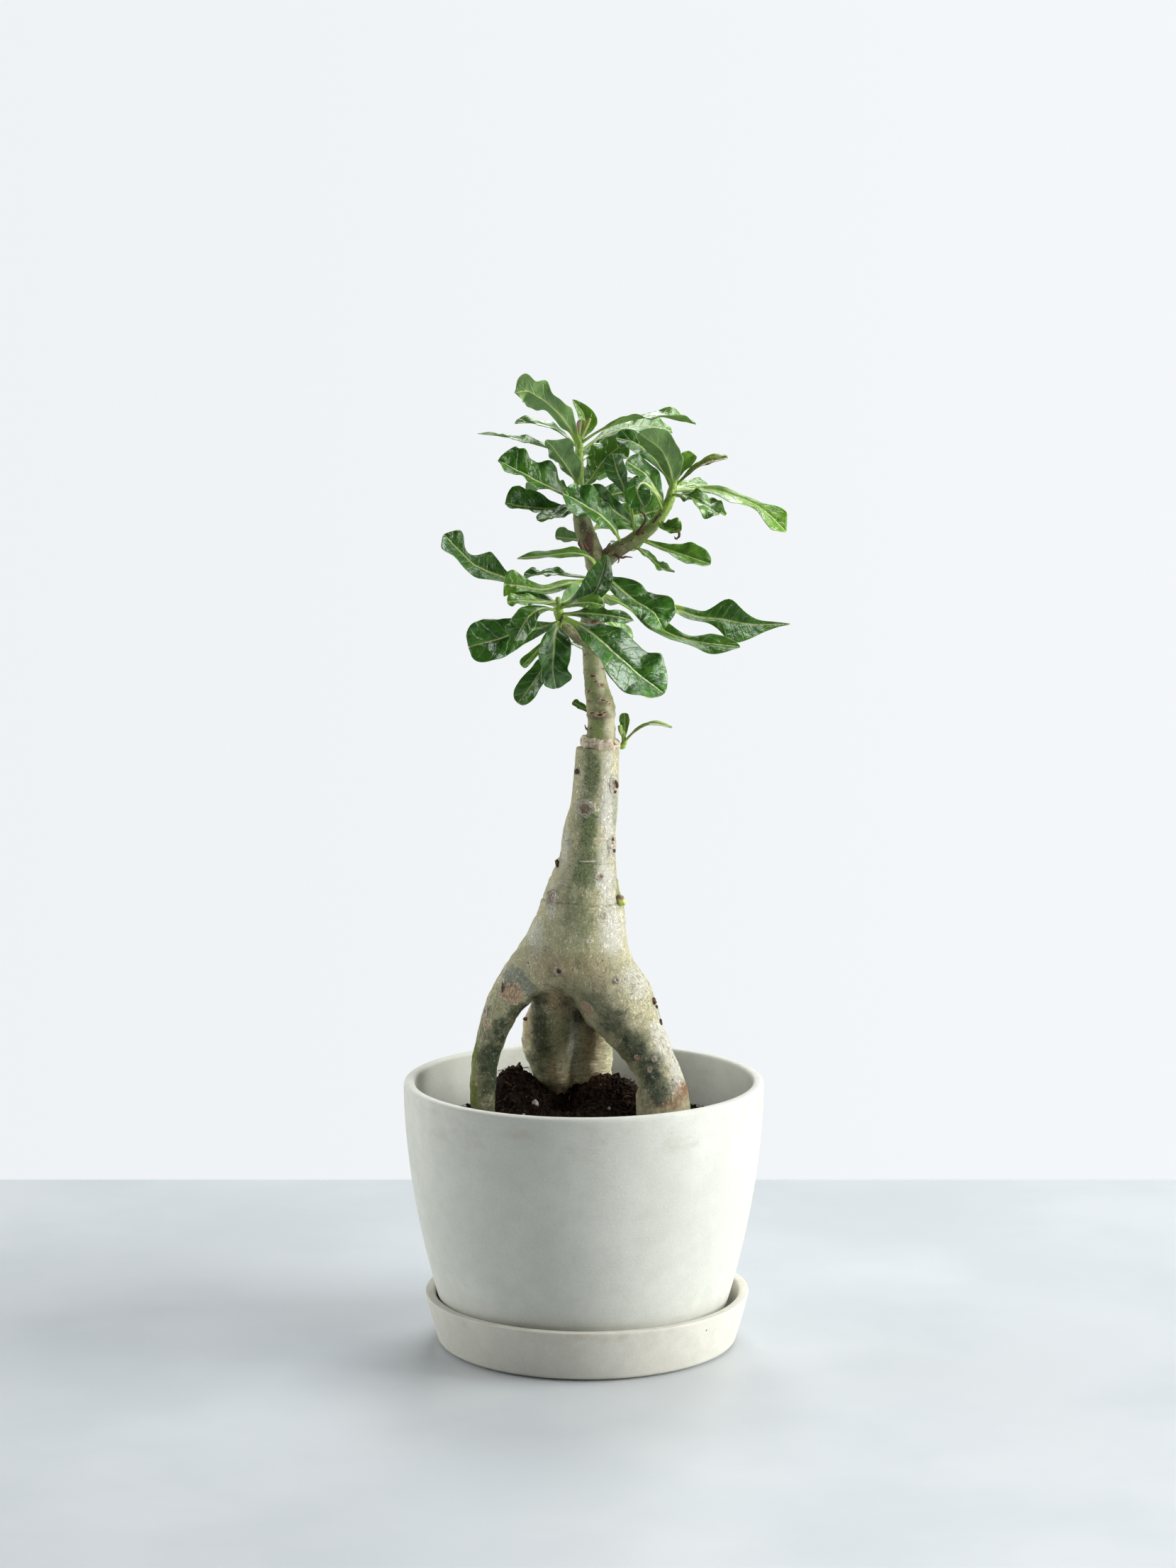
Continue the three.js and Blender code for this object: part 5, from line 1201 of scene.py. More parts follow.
wood_points, wood_out, wood_faces = limb_parts([MAIN_WOOD, RIGHT_WOOD, SPUR_WOOD], 0.55, 72)
wood_relief = 0.42 * fractal(wood_points, 9, 3) + 0.16 * fractal(wood_points * (1, 1, 2.2), 2.4, 3)
wood_scar = np.full(len(wood_points), 3.0)
scar_places = [(seen_at(wood_points, x, z), wide) for x, z, wide in WOOD_SCARS]
for z, turn in BACK_SCARS:
    behind = wood_points[(np.abs(wood_points[:, 2] - z) < 1) & (wood_points[:, 1] > 2)]
    if len(behind):
        scar_places.append((behind[int(turn * 13) % len(behind)], 1.9))
for centre, wide in scar_places:
    reach = np.linalg.norm((wood_points - centre) * (1, 1, 2.1), axis=1) / wide
    near = reach < 4
    reach[near] *= 1 + 0.35 * fractal(wood_points[near] + centre, 2.4, 3)
    wood_relief += 0.7 * np.exp(-((reach - 0.8) / 0.4) ** 2) - 0.3 * np.exp(-(reach / 0.4) ** 2)
    wood_scar = np.minimum(wood_scar, reach)
for z, proud in SWOLLEN_RINGS:
    wood_relief += proud * np.exp(-((wood_points[:, 2] - z) / 1.5) ** 2)
wood_points = wood_points + wood_relief[:, None] * wood_out

# Patches of the bark's tones, each (x, y, z, width, depth, height, strength).
BROWN_WOOD = [
    (3, -5, 446, 3.4, 5, 11, 1), (0, -5, 455, 2.6, 5, 5, 0.7), (8, -5, 352, 9, 9, 3.4, 0.55),
    (6, -5, 403, 4.6, 6, 4.5, 0.8), (6, -6, 398, 5, 6, 3, 0.5), (20, -5, 441, 12, 7, 3, 0.4),
    (-3, -12, 397, 6, 7, 5, 0.55), (9, -4, 434, 5, 6, 5, 0.6), (4, 5, 400, 8, 5, 6, 0.6),
]
PALE_WOOD = [
    (14, -3, 345, 6, 9, 16, 0.8), (9, -3, 375, 4, 8, 22, 0.55), (13, -2, 356, 4, 8, 6, 0.8),
    (2, -6, 458, 3, 5, 8, 0.6), (9, -5, 420, 4, 6, 12, 0.5),
]
GREEN_WOOD = [
    (7, -8, 344, 5, 6, 8, 0.9), (4, -7, 388, 5, 6, 9, 0.5), (-1, -4, 462, 5, 6, 6, 0.7),
    (36, -6, 455, 10, 9, 9, 1), (27, -6, 450, 9, 8, 5, 0.8), (4, -7, 372, 5, 6, 14, 0.5),
]
BARK_OLIVE, BARK_KHAKI = (0.155, 0.172, 0.068), (0.29, 0.288, 0.138)
YOUNG_GREEN, PALE_BARK, BROWN_BARK = (0.24, 0.31, 0.085), (0.52, 0.49, 0.34), (0.11, 0.062, 0.035)
DARK_GRAIN, LIGHT_GRAIN, BARK_DOT = (0.075, 0.062, 0.033), (0.52, 0.48, 0.35), (0.50, 0.42, 0.29)
RIM_PALE, RIM_BROWN, HEART_RED, HEART_DARK = ((0.66, 0.55, 0.40), (0.36, 0.24, 0.14), (0.24, 0.085, 0.045),
                                              (0.06, 0.022, 0.014))

scion_bark, tree, shader, place = new_finish("scion bark")
color = two_toned(tree, place, 12, BARK_OLIVE, BARK_KHAKI, 5, 0.65)
color = laid(tree, color, YOUNG_GREEN, patches(tree, place, GREEN_WOOD))
color = laid(tree, color, PALE_BARK, patches(tree, place, PALE_WOOD))
color = laid(tree, color, BROWN_BARK, patches(tree, place, BROWN_WOOD, 1.1, 0.5))
grain = clouds(tree, place, 0.9, 5, 0.75, (1, 1, 0.7))
color = laid(tree, color, DARK_GRAIN, between(tree, grain, 0.5, 0.7), 0.6)
color = laid(tree, color, LIGHT_GRAIN, between(tree, grain, 0.46, 0.28), 0.5)
color = laid(tree, color, BARK_DOT, specks(tree, place, 2.3, 0.32, 0.5), 0.6)
to_scar = add(tree, "Attribute", attribute_name="scar").outputs["Fac"]
scar = cork_scar(tree, to_scar, place, 0.9, 0.8, 2.4, 1.0, 1.3, 0.75)
rim_color = mixed(tree, between(tree, grain, 0.4, 0.6), RIM_PALE, RIM_BROWN)
heart_color = mixed(tree, between(tree, grain, 0.42, 0.6), HEART_RED, HEART_DARK)
color = laid(tree, color, rim_color, scar["Rim"], 0.8)
color = laid(tree, color, heart_color, scar["Heart"], 0.95)
normal = bumped(tree, grain, 0.35)
normal = bumped(tree, clouds(tree, place, 0.5, 3, 0.7), 0.2, normal)
normal = bumped(tree, product(tree, scar["Rim"], scar["Noise"]), 0.6, normal)
wire(tree, shader, Base_Color=color, Roughness=0.66, Normal=normal, Specular_IOR_Level=0.35)

scion = mesh_piece("scion_bark", wood_points, wood_faces, scion_bark)
point_values(scion, "scar", wood_scar)
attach(scion, "root")
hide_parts("stem")

# Dried remains
# Stalks and scales of fallen leaves and flowers that still hang on the wood where they grew. They have
# dried to thin curled brown bits.

# Each bit is a row of places (x, y, z) with its thickness there.
REMAINS = [
    [(29, -6.5, 451, 1.3), (31.5, -8, 455, 1.1), (33.5, -8.5, 459, 0.8), (32.4, -8.5, 462.5, 0.7),
     (30.4, -8.5, 464, 0.8), (30.6, -8.3, 466, 0.6), (32.4, -8.2, 466.6, 0.5), (33.2, -8.2, 464.8, 0.3)],
    [(38, -7, 457.5, 0.9), (39.8, -8.6, 460.5, 1.0), (41.4, -8.8, 461.6, 0.7), (41.2, -8.8, 463, 0.3)],
    [(12, -5, 441, 0.9), (12.6, -5.6, 443.6, 0.8), (13.8, -5.6, 445.6, 0.6), (15, -5.4, 446.6, 0.35)],
    [(17, -6.4, 440.2, 1.2), (20.4, -7.2, 438.6, 0.9), (23.4, -7.4, 439, 0.7), (26.6, -7.4, 438.6, 0.3)],
    [(19, -6.6, 439.4, 0.8), (19.2, -7.2, 436.8, 0.6), (18.4, -7.4, 435.6, 0.3)],
    [(1, -5.6, 441, 1.0), (-1, -6.8, 443.6, 1.2), (-2.6, -7, 446.4, 0.9), (-2, -6.8, 448.4, 0.3)],
    [(2.4, -5.4, 443, 0.9), (0.8, -6.8, 445, 1.0), (0.4, -7.2, 447.4, 0.4)],
    [(49.6, -13.6, 454.4, 0.9), (51.4, -14.2, 453, 1.1), (51.6, -14.4, 450.6, 0.9), (50, -14.4, 449.2, 0.7),
     (49, -14.2, 450.6, 0.35)],
    [(-13.6, -22.4, 412, 1.0), (-13.2, -23, 414.6, 0.9), (-13.6, -23, 417, 0.35)],
    [(-12.4, -22.8, 405.4, 1.2), (-11.6, -23.4, 407, 0.8), (-10.8, -23.2, 408.4, 0.35)],
    [(2, -4.6, 344.2, 0.8), (1, -5, 345.6, 0.6), (0.6, -5, 347, 0.3)],
]
SHRUNK = 0.7
HUSK_DARK, HUSK_RED = (0.030, 0.010, 0.009), (0.17, 0.060, 0.036)

husk, tree, shader, place = new_finish("dried stalk")
color = two_toned(tree, place, 2.2, HUSK_DARK, HUSK_RED, 4, 0.7)
normal = bumped(tree, clouds(tree, place, 0.6, 4, 0.8), 0.35)
wire(tree, shader, Base_Color=color, Roughness=0.6, Normal=normal)
shrunk = [[(x, y, z, SHRUNK * radius) for x, y, z, radius in limb] for limb in REMAINS]
husk_points, husk_out, husk_faces = limb_parts(shrunk, 0.35, 12)
husk_points += husk_out * (0.24 * fractal(husk_points, 0.9, 2))[:, None]
remains = mesh_piece("dried_remains", husk_points, husk_faces, husk)
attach(remains, "root")
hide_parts("stem")

# Leaves
# Fleshy spoon-shaped leaves on short stalks, glossy dark green above, paler below, with a raised pale
# midrib and netted side veins. They wave along their edges, and young ones are bright yellow-green.

BLADE = {"stalk": 0.95, "round": 0.35, "rise": 1.15, "lag": 1.9, "thick": 0.6, "edge": 0.26, "keel": 1.0,
         "groove": 0.32, "ragged": 0.06, "slant": 1.05}
BLADE_ROWS = 46
BLADE_COLUMNS = np.array([-1, -0.95, -0.85, -0.7, -0.54, -0.38, -0.24, -0.12, -0.05])
BLADE_COLUMNS = np.concatenate([BLADE_COLUMNS, [0], -BLADE_COLUMNS[::-1]])
VEIN_SPACING, CRUMPLE = 8.5, 0.9
# The greens of a leaf, darker and lighter: old above, young above, new above, old below and young below.
DEEP = (0.017, 0.084, 0.006), (0.060, 0.198, 0.013)
FRESH = (0.084, 0.228, 0.012), (0.155, 0.330, 0.024)
BRIGHT = (0.17, 0.36, 0.030), (0.28, 0.50, 0.060)
BELOW = (0.110, 0.230, 0.060), (0.180, 0.320, 0.095)
BELOW_YOUNG = (0.22, 0.42, 0.045), (0.33, 0.52, 0.08)
NEW_RED = (0.15, 0.055, 0.018), (0.34, 0.19, 0.04)
LIGHT_STREAK, DARK_STREAK, DARK_BELOW = (0.20, 0.34, 0.12), (0.008, 0.030, 0.010), (0.09, 0.19, 0.045)
NET_VEIN, VEIN_HALO = (0.26, 0.40, 0.17), (0.19, 0.33, 0.11)
SIDE_VEIN, MIDRIB = (0.36, 0.50, 0.20), (0.50, 0.60, 0.21)
LEAF_STALK, LEAF_RIM, LEAF_SPOT = (0.32, 0.47, 0.085), (0.30, 0.40, 0.13), (0.46, 0.47, 0.22)
SHOOT_GREEN, SHOOT_BRIGHT, SHOOT_MARK = (0.19, 0.33, 0.042), (0.36, 0.50, 0.09), (0.13, 0.10, 0.045)


def unit(rows):
    """Directions of length one."""
    return rows / np.maximum(np.linalg.norm(rows, axis=-1, keepdims=True), 1e-9)


def blade(seed, path, width, face, tip_face=None, fold=14, wave=1.8, waves=2.5, phase=0, stalk=0.12,
          taper=0.42, age=0.3, edges=None, notch=0, tip=0.14):
    """One leaf's upper and lower points, row by row, with the values that its finish reads.

    edges holds the shares of the half width at even steps along the blade, for its side 1 and its side -1;
    the last share of the blade, the tip, is rounded off.
    """
    fate = np.random.default_rng(seed)
    u = np.arange(BLADE_ROWS + 1) / BLADE_ROWS
    t = 1 - (1 - u) ** 1.3
    line, way = through(path, t)
    length = np.linalg.norm(np.diff(line, axis=0), axis=1).sum()
    top_face, end_face = np.asarray(face, float), np.asarray(tip_face or face, float)
    up = top_face + (end_face - top_face) * t[:, None]
    up = unit(up - way * np.sum(up * way, axis=1, keepdims=True))
    side = np.cross(way, up)
    s = np.clip((t - stalk) / (1 - stalk), 0, 1)
    peak = BLADE["rise"] / (BLADE["rise"] + taper)
    shape = s ** BLADE["rise"] * (1 - s) ** taper / (peak ** BLADE["rise"] * (1 - peak) ** taper)
    v = BLADE_COLUMNS[None]
    across = np.abs(v)
    thin = BLADE["stalk"] * (1 - 0.75 * np.clip((t - 0.93) / 0.07, 0, 1))
    halves = [shape, shape]
    if edges:
        halves = [np.interp(s, np.linspace(0, 1, len(shares)), shares) for shares in edges]
        tip_end = np.sqrt(1 - np.clip((s - 1 + tip) / tip, 0, 1) ** 2)
        smoothing = (0.1, 0.2, 0.4, 0.2, 0.1)
        halves = [np.convolve(np.pad(row, 2, "edge"), smoothing, "valid") * tip_end for row in halves]
        shape = np.minimum((halves[0] + halves[1]) / 2, 1)
    side_shares = np.where(v > 0, halves[0][:, None], halves[1][:, None])
    half = thin[:, None] + (width / 2 - thin)[:, None] * side_shares
    for which in (-1, 1):
        waviness = [fate.uniform(0.2, 1) * np.sin(2 * math.pi * (k * s + fate.random())) / k
                    for k in (2, 3, 5, 8)]
        ragged = 1 + BLADE["ragged"] * sum(waviness) * np.clip(s * 6, 0, 1)
        half = np.where(v * which > 0, half * ragged[:, None], half)
    soft = np.clip(t / BLADE["round"], 0, 1)
    stalky = 1 - soft * soft * (3 - 2 * soft)
    stalky = np.where(width < 4, 0.3, stalky)[:, None]
    fold = math.radians(fold)
    turns = 2 * math.pi * waves * t[:, None] + phase + np.where(v > 0, 0, BLADE["lag"])
    small = 0.3 * np.sin(2.3 * turns + fate.uniform(0, 6))
    ripple = wave * shape[:, None] * across ** 2 * (np.sin(turns) + small)
    veins = length / VEIN_SPACING
    vein_phase = s[:, None] * veins - BLADE["slant"] * across ** 0.85
    body = shape[:, None] * across * (1 - across ** 3)
    pucker = (0.85 - 0.5 * min(age, 1)) * min(width / 20, 1) * body
    pucker = pucker * (1 - np.cos(2 * math.pi * vein_phase)) * 0.5
    mm_across = v * half
    groove = BLADE["groove"] * np.exp(-(mm_across / 0.8) ** 2) * (1 - stalky)
    rib_shape = np.exp(-(mm_across / 0.85) ** 2) * (1 - stalky) * min(width / 14, 1)
    keel = BLADE["keel"] * (1 - 0.75 * t[:, None]) * rib_shape
    flesh = BLADE["edge"] + (BLADE["thick"] - BLADE["edge"]) * (1 - across ** 4)
    arch = np.sqrt(np.clip(1 - v * v, 0, 1)) * 0.92
    along = np.broadcast_to((length * t)[:, None], half.shape)
    flat = np.stack([along, mm_across, np.full_like(along, 37.0 * (seed % 97))], -1)
    crumple = fractal(flat.reshape(-1, 3), 11, 4).reshape(half.shape) * shape[:, None] * min(width / 20, 1)
    middle = across * half * math.sin(fold) * (1 - 0.6 * stalky) + ripple + CRUMPLE * crumple
    upper = middle + (1 - stalky) * (flesh / 2 + pucker - groove) + stalky * arch * np.minimum(half, 0.95)
    lower = middle - (1 - stalky) * (flesh / 2 - 0.7 * pucker + keel) - stalky * arch * np.minimum(half, 0.95)
    out = v * half * math.cos(fold)
    ahead = notch * across ** 2 * s[:, None] ** 8
    base = line[:, None] + side[:, None] * out[..., None] + way[:, None] * ahead[..., None]
    above, below = base + up[:, None] * upper[..., None], base + up[:, None] * lower[..., None]
    net = np.stack([vein_phase, np.broadcast_to(v, half.shape), np.broadcast_to(s[:, None], half.shape)], -1)
    return above, below, flat, net, age


def blade_faces(rows, columns):
    """Faces of a blade's upper and lower points, joined round its rim."""
    size = rows * columns
    faces = []
    for i in range(rows - 1):
        for j in range(columns - 1):
            a, b = i * columns + j, i * columns + j + 1
            c, d = b + columns, a + columns
            faces.append((a, b, c, d))
            faces.append((size + a, size + d, size + c, size + b))
        a, b = i * columns, (i + 1) * columns
        faces.append((a, b, size + b, size + a))
        a, b = a + columns - 1, b + columns - 1
        faces.append((a, size + a, size + b, b))
    for j in range(columns - 1):
        faces.append((j, size + j, size + j + 1, j + 1))
        a = (rows - 1) * columns + j
        faces.append((a, a + 1, size + a + 1, size + a))
    return faces


leaf_finish, tree, shader, place = new_finish("leaf")
flat, net, kind = [add(tree, "Attribute", attribute_name=name).outputs["Vector"]
                   for name in ("flat", "net", "kind")]
phase, v, s = add(tree, "SeparateXYZ", {"Vector": net}).outputs
luck, age, under = add(tree, "SeparateXYZ", {"Vector": kind}).outputs
off_middle = calc(tree, "ABSOLUTE", add(tree, "SeparateXYZ", {"Vector": flat}).outputs["Y"])
off_share = calc(tree, "ABSOLUTE", v)

# The side veins, the midrib, the fine net between them and the streaks along the side veins.
wobble = calc(tree, "SUBTRACT", clouds(tree, flat, 7, 2), 0.5)
turned_phase = calc(tree, "MULTIPLY_ADD", wobble, 0.7, phase)
to_vein = calc(tree, "PINGPONG", turned_phase, 0.5)
fades = between(tree, off_share, 0.98, 0.72)
side_vein = product(tree, between(tree, to_vein, 0.0, 0.06, 1.0, 0.0), fades)
halo = product(tree, between(tree, to_vein, 0.0, 0.26, 1.0, 0.0), fades)
rib_width = calc(tree, "MULTIPLY_ADD", s, -0.75, 1.15)
rib = between(tree, calc(tree, "DIVIDE", off_middle, rib_width), 0.45, 0.85, 1.0, 0.0)
warped = add(tree, "TexNoise", {"Vector": flat, "Scale": 0.35, "Detail": 2})
shaken = add(tree, "VectorMath", {0: flat, 1: warped.outputs["Color"]}, operation="ADD").outputs[0]
cells = add(tree, "TexVoronoi", {"Vector": shaken, "Scale": 0.5}, feature="DISTANCE_TO_EDGE")
net_vein = between(tree, cells.outputs["Distance"], 0.0, 0.10, 1.0, 0.0)
streak_parts = [calc(tree, "MULTIPLY", value, often)
                for value, often in ((turned_phase, 7), (v, 1.6), (luck, 40))]
streak_place = add(tree, "CombineXYZ", dict(enumerate(streak_parts))).outputs[0]
streaks = clouds(tree, streak_place, 1, 4, 0.7)

# The blade's own green, by its age and side, and then its streaks, veins, stalk, rim and spots.
mottle = between(tree, clouds(tree, flat, 6.5, 5, 0.65), 0.32, 0.68)
color = mixed(tree, mottle, *DEEP)
color = laid(tree, color, mixed(tree, mottle, *FRESH), between(tree, age, 0.2, 0.6))
color = laid(tree, color, mixed(tree, mottle, *BRIGHT), between(tree, age, 0.6, 1.0))
below = mixed(tree, mottle, *BELOW)
below = laid(tree, below, mixed(tree, mottle, *BELOW_YOUNG), between(tree, age, 0.4, 0.85))
color = laid(tree, color, below, under)
lighter = product(tree, between(tree, streaks, 0.5, 0.74), between(tree, off_share, 1.0, 0.85))
color = laid(tree, color, LIGHT_STREAK, lighter, 0.4)
color = laid(tree, color, mixed(tree, under, DARK_STREAK, DARK_BELOW), between(tree, streaks, 0.48, 0.3), 0.5)
reddened = product(tree, between(tree, age, 1.0, 1.5), between(tree, v, -0.5, 0.3, 0.25, 1.0))
color = laid(tree, color, mixed(tree, mottle, *NEW_RED), reddened)
marbled = product(tree, between(tree, luck, 0.55, 0.95, 0.0, 0.24), between(tree, age, 0.3, 0.6, 1.0, 0.2))
shows = between(tree, clouds(tree, flat, 9, 3), 0.36, 0.62, 0.25, 1.0)
color = laid(tree, color, NET_VEIN, product(tree, net_vein, shows, marbled))
color = laid(tree, color, VEIN_HALO, product(tree, halo, shows), 0.2)
color = laid(tree, color, SIDE_VEIN, product(tree, side_vein, shows), 0.62)
color = laid(tree, color, MIDRIB, rib, 0.92)
color = laid(tree, color, LEAF_STALK, between(tree, s, 0.10, 0.0))
color = laid(tree, color, LEAF_RIM, between(tree, off_share, 0.955, 1.0), 0.6)
color = laid(tree, color, LEAF_SPOT, specks(tree, flat, 9, 0.9, 0.12), 0.5)

raised = calc(tree, "MAXIMUM", side_vein, product(tree, net_vein, marbled))
normal = bumped(tree, calc(tree, "SUBTRACT", 1.0, raised), 0.16)
normal = bumped(tree, streaks, 0.14, normal)
normal = bumped(tree, clouds(tree, flat, 5, 2, 0.5), 0.8, normal)
gloss = between(tree, clouds(tree, flat, 7, 3), 0.3, 0.7, 0.15, 0.26)
gloss = calc(tree, "MULTIPLY_ADD", under, 0.25, gloss)
wire(tree, shader, Base_Color=color, Roughness=gloss, Normal=normal, IOR=1.5, Specular_IOR_Level=0.62,
     Subsurface_Weight=0.22, Subsurface_Radius=(0.6, 1.0, 0.25), Subsurface_Scale=MM)

BLADE_FACES = blade_faces(BLADE_ROWS + 1, len(BLADE_COLUMNS))
leaf_seeds = itertools.count(101)


def leafy(name, leaves, node):
    """All the leaves of one shoot as one mesh that stands for a node."""
    points, faces, flats, nets, kinds = [], [], [], [], []
    for leaf in leaves:
        seed = next(leaf_seeds)
        above, below, flat_at, net_at, age_of = blade(seed, **leaf)
        base = sum(len(part) for part in points)
        faces += [tuple(base + corner for corner in face) for face in BLADE_FACES]
        luck_of = seed * 0.37 % 1
        for side, part in enumerate((above, below)):
            points.append(part.reshape(-1, 3))
            flats.append(flat_at.reshape(-1, 3) + (0, 0, 11 * side))
            nets.append(net_at.reshape(-1, 3))
            kinds.append(np.tile((luck_of, age_of, side), (len(points[-1]), 1)))
    made = mesh_piece(name, np.vstack(points), faces, leaf_finish)
    for label, values in (("flat", flats), ("net", nets), ("kind", kinds)):
        point_values(made, label, np.vstack(values))
    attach(made, "root")
    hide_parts(node)


green_bark, tree, shader, place = new_finish("green shoot")
color = two_toned(tree, place, 3, SHOOT_GREEN, SHOOT_BRIGHT, 4, 0.6)
color = laid(tree, color, SHOOT_MARK, specks(tree, place, 2.6, 0.6, 0.5), 0.3)
normal = bumped(tree, clouds(tree, place, 1.6, 3, 0.6), 0.5)
wire(tree, shader, Base_Color=color, Roughness=0.45, Normal=normal)


def soft_stem(name, limb, node):
    """The soft green tip of a shoot, knobbly where leaves leave it."""
    points, out, faces = limb_parts([limb], 0.5, 36)
    points += out * (0.3 * fractal(points, 3, 3))[:, None]
    made = mesh_piece(name, points, faces, green_bark)
    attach(made, "root")
    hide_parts(node)


# Leaves of the old wood
# Leaves that grow straight from the woody stem, its branch and its fork, each on its own short stalk.
# Three of them lean back behind the crown.

WOOD_LEAVES = [
    dict(path=[(28, -3, 450), (26, -10, 463), (22.5, -13.5, 475), (18.5, -15, 485), (15.5, -15, 495)],
         width=13, face=(-0.4, -0.9, 0.1), stalk=0.45, wave=0.8, age=0.1),
    dict(path=[(20.5, -3, 446), (14, -11, 457.5), (3, -17, 466), (-11, -19, 474)],
         width=21, face=(0.1, -0.8, 0.6), wave=2.4, waves=3, fold=20, age=0.2),
    dict(path=[(28, -2, 451), (26, -6, 457), (18, -8.5, 463), (9.5, -10, 470.5), (3, -10.5, 477)],
         width=12, face=(-0.2, -0.9, 0.4), wave=1.4, age=0.25),
    dict(path=[(3, 2, 452), (13, 13, 456.5), (29, 19, 460), (45, 22, 463.5)],
         width=20, face=(0, -0.95, 0.3), wave=1.4, age=0.4),
    dict(path=[(30, -3, 448.5), (41, -6, 444.3), (54, -9, 440), (69, -11, 435.5)],
         width=18, face=(-0.1, -0.7, 0.75), fold=30, wave=1.2, age=0.45,
         edges=[[0.1, 0.12, 0.2, 0.35, 0.7, 0.95, 1, 0.95, 0.7],
                [0.1, 0.15, 0.2, 0.3, 0.55, 0.85, 0.8, 0.75, 0.6]]),
    dict(path=[(25, -2, 445), (31, -6, 442.5), (37, -9, 437.5), (42.5, -10, 433), (49.5, -10, 431)],
         width=9, face=(0.5, -0.6, 0.6), tip_face=(0.1, -0.2, 1), wave=1.2, age=0.5),
    dict(path=[(1, 1, 446.5), (-6, 4, 448.5), (-15.5, 5, 449.5)],
         width=11, face=(0, 0.75, 0.65), fold=20, wave=0.6, age=0.45, taper=0.3),
    dict(path=[(8, -3, 430), (4, -8, 438), (-5, -10, 441), (-20, -12, 440), (-36, -13, 438.5)],
         width=7.6, face=(0.1, -0.6, 0.8), wave=0.8, stalk=0.2, age=0.4,
         edges=[[0.2, 0.5, 0.8, 1, 0.9, 1, 0.9, 0.55, 0.1], [0.2, 0.6, 0.8, 0.9, 1, 0.9, 0.7, 0.4, 0.05]]),
    dict(path=[(5, -3, 425.5), (-8, -11, 424.6), (-21, -18, 422), (-33, -21, 424), (-43, -22, 425.5)],
         width=17, face=(0.2, -0.6, 0.8), tip_face=(0.3, -0.95, 0.1), fold=12, wave=0.8, age=0.6, tip=0.03,
         edges=[[0.1, 0.2, 0.3, 0.25, 0.2, 0.3, 0.45, 0.75, 1, 0.7],
                [0.1, 0.2, 0.3, 0.35, 0.3, 0.2, 0.2, 0.4, 0.65, 0.9]]),
    dict(path=[(5, 3, 426.5), (-9, 9, 427.8), (-21, 12, 428.8), (-33, 13, 427)],
         width=11, face=(0, -0.3, 0.95), wave=1.4, age=0.3),
    dict(path=[(6, 3, 405), (14, 11, 402.5), (20, 16, 396), (25, 18, 388)],
         width=13, face=(0.6, -0.6, 0.4), wave=0.8, age=0.5),
    dict(path=[(8, -2, 431), (17, -12, 424.5), (28, -18, 416), (37.5, -22, 410), (42, -24, 403)],
         width=22, face=(0.1, -0.85, 0.5), tip_face=(0.5, -0.8, 0.2), wave=1.8, fold=14, age=0.2, notch=2,
         edges=[[0.1, 0.3, 0.5, 0.6, 0.65, 0.8, 1, 0.95, 0.6],
                [0.1, 0.4, 0.7, 0.8, 0.75, 0.95, 1.1, 1, 0.5]]),
    dict(path=[(7, 0, 418.5), (21, -2, 413.5), (34, -6, 405.5), (48, -11, 397), (64, -15, 393),
               (83.5, -17, 391)],
         width=12, face=(-0.1, -0.75, 0.65), stalk=0.3, wave=1.8, waves=2, age=0.35, notch=1.5,
         edges=[[0.15, 0.5, 0.75, 0.8, 0.7, 0.5, 0.7, 1.1, 0.9, 0.3],
                [0.15, 0.5, 0.7, 0.75, 0.6, 0.4, 0.6, 1, 0.8, 0.3]]),
    dict(path=[(8, 2, 423), (28, 5, 417), (48, 5, 410.5), (62, 4, 405.5), (76, 3, 404), (92, 1, 401.5),
               (113, 0, 401.8)],
         width=27, face=(0, -0.6, 0.8), tip_face=(0.1, -0.95, 0.1), wave=2.2, waves=2.2, phase=2.4,
         stalk=0.36, age=0.3,
         edges=[[0.1, 0.25, 0.2, 0.12, 0.25, 0.6, 1, 0.8, 0.35, 0.08, 0.02],
                [0.1, 0.2, 0.25, 0.2, 0.5, 0.9, 0.6, 0.35, 0.12, 0.04, 0.02]]),
    dict(path=[(7, 2, 351), (-1, 5, 355.5), (-6, 6, 358.5)],
         width=5, face=(0, -0.7, 0.7), wave=0.4, age=0.4),
    dict(path=[(6, 3, 410), (8, 20, 414), (12, 38, 413), (15, 52, 408)],
         width=17, face=(0.1, -0.2, 1), age=0.3),
    dict(path=[(14, 1, 440), (18, 16, 444), (24, 32, 444), (28, 46, 439)],
         width=16, face=(-0.2, -0.3, 1), age=0.3),
    dict(path=[(4, 2, 385), (-4, 17, 389), (-9, 32, 388), (-14, 44, 383)],
         width=15, face=(0.1, -0.2, 1), age=0.3),
]
leafy("wood_leaves", WOOD_LEAVES, "stem")

# Leader shoot
# The soft green tip in the middle, with a loose spiral of leaves that grow straight from it. Its two
# newest leaves stand up at the end, still narrow and reddish.

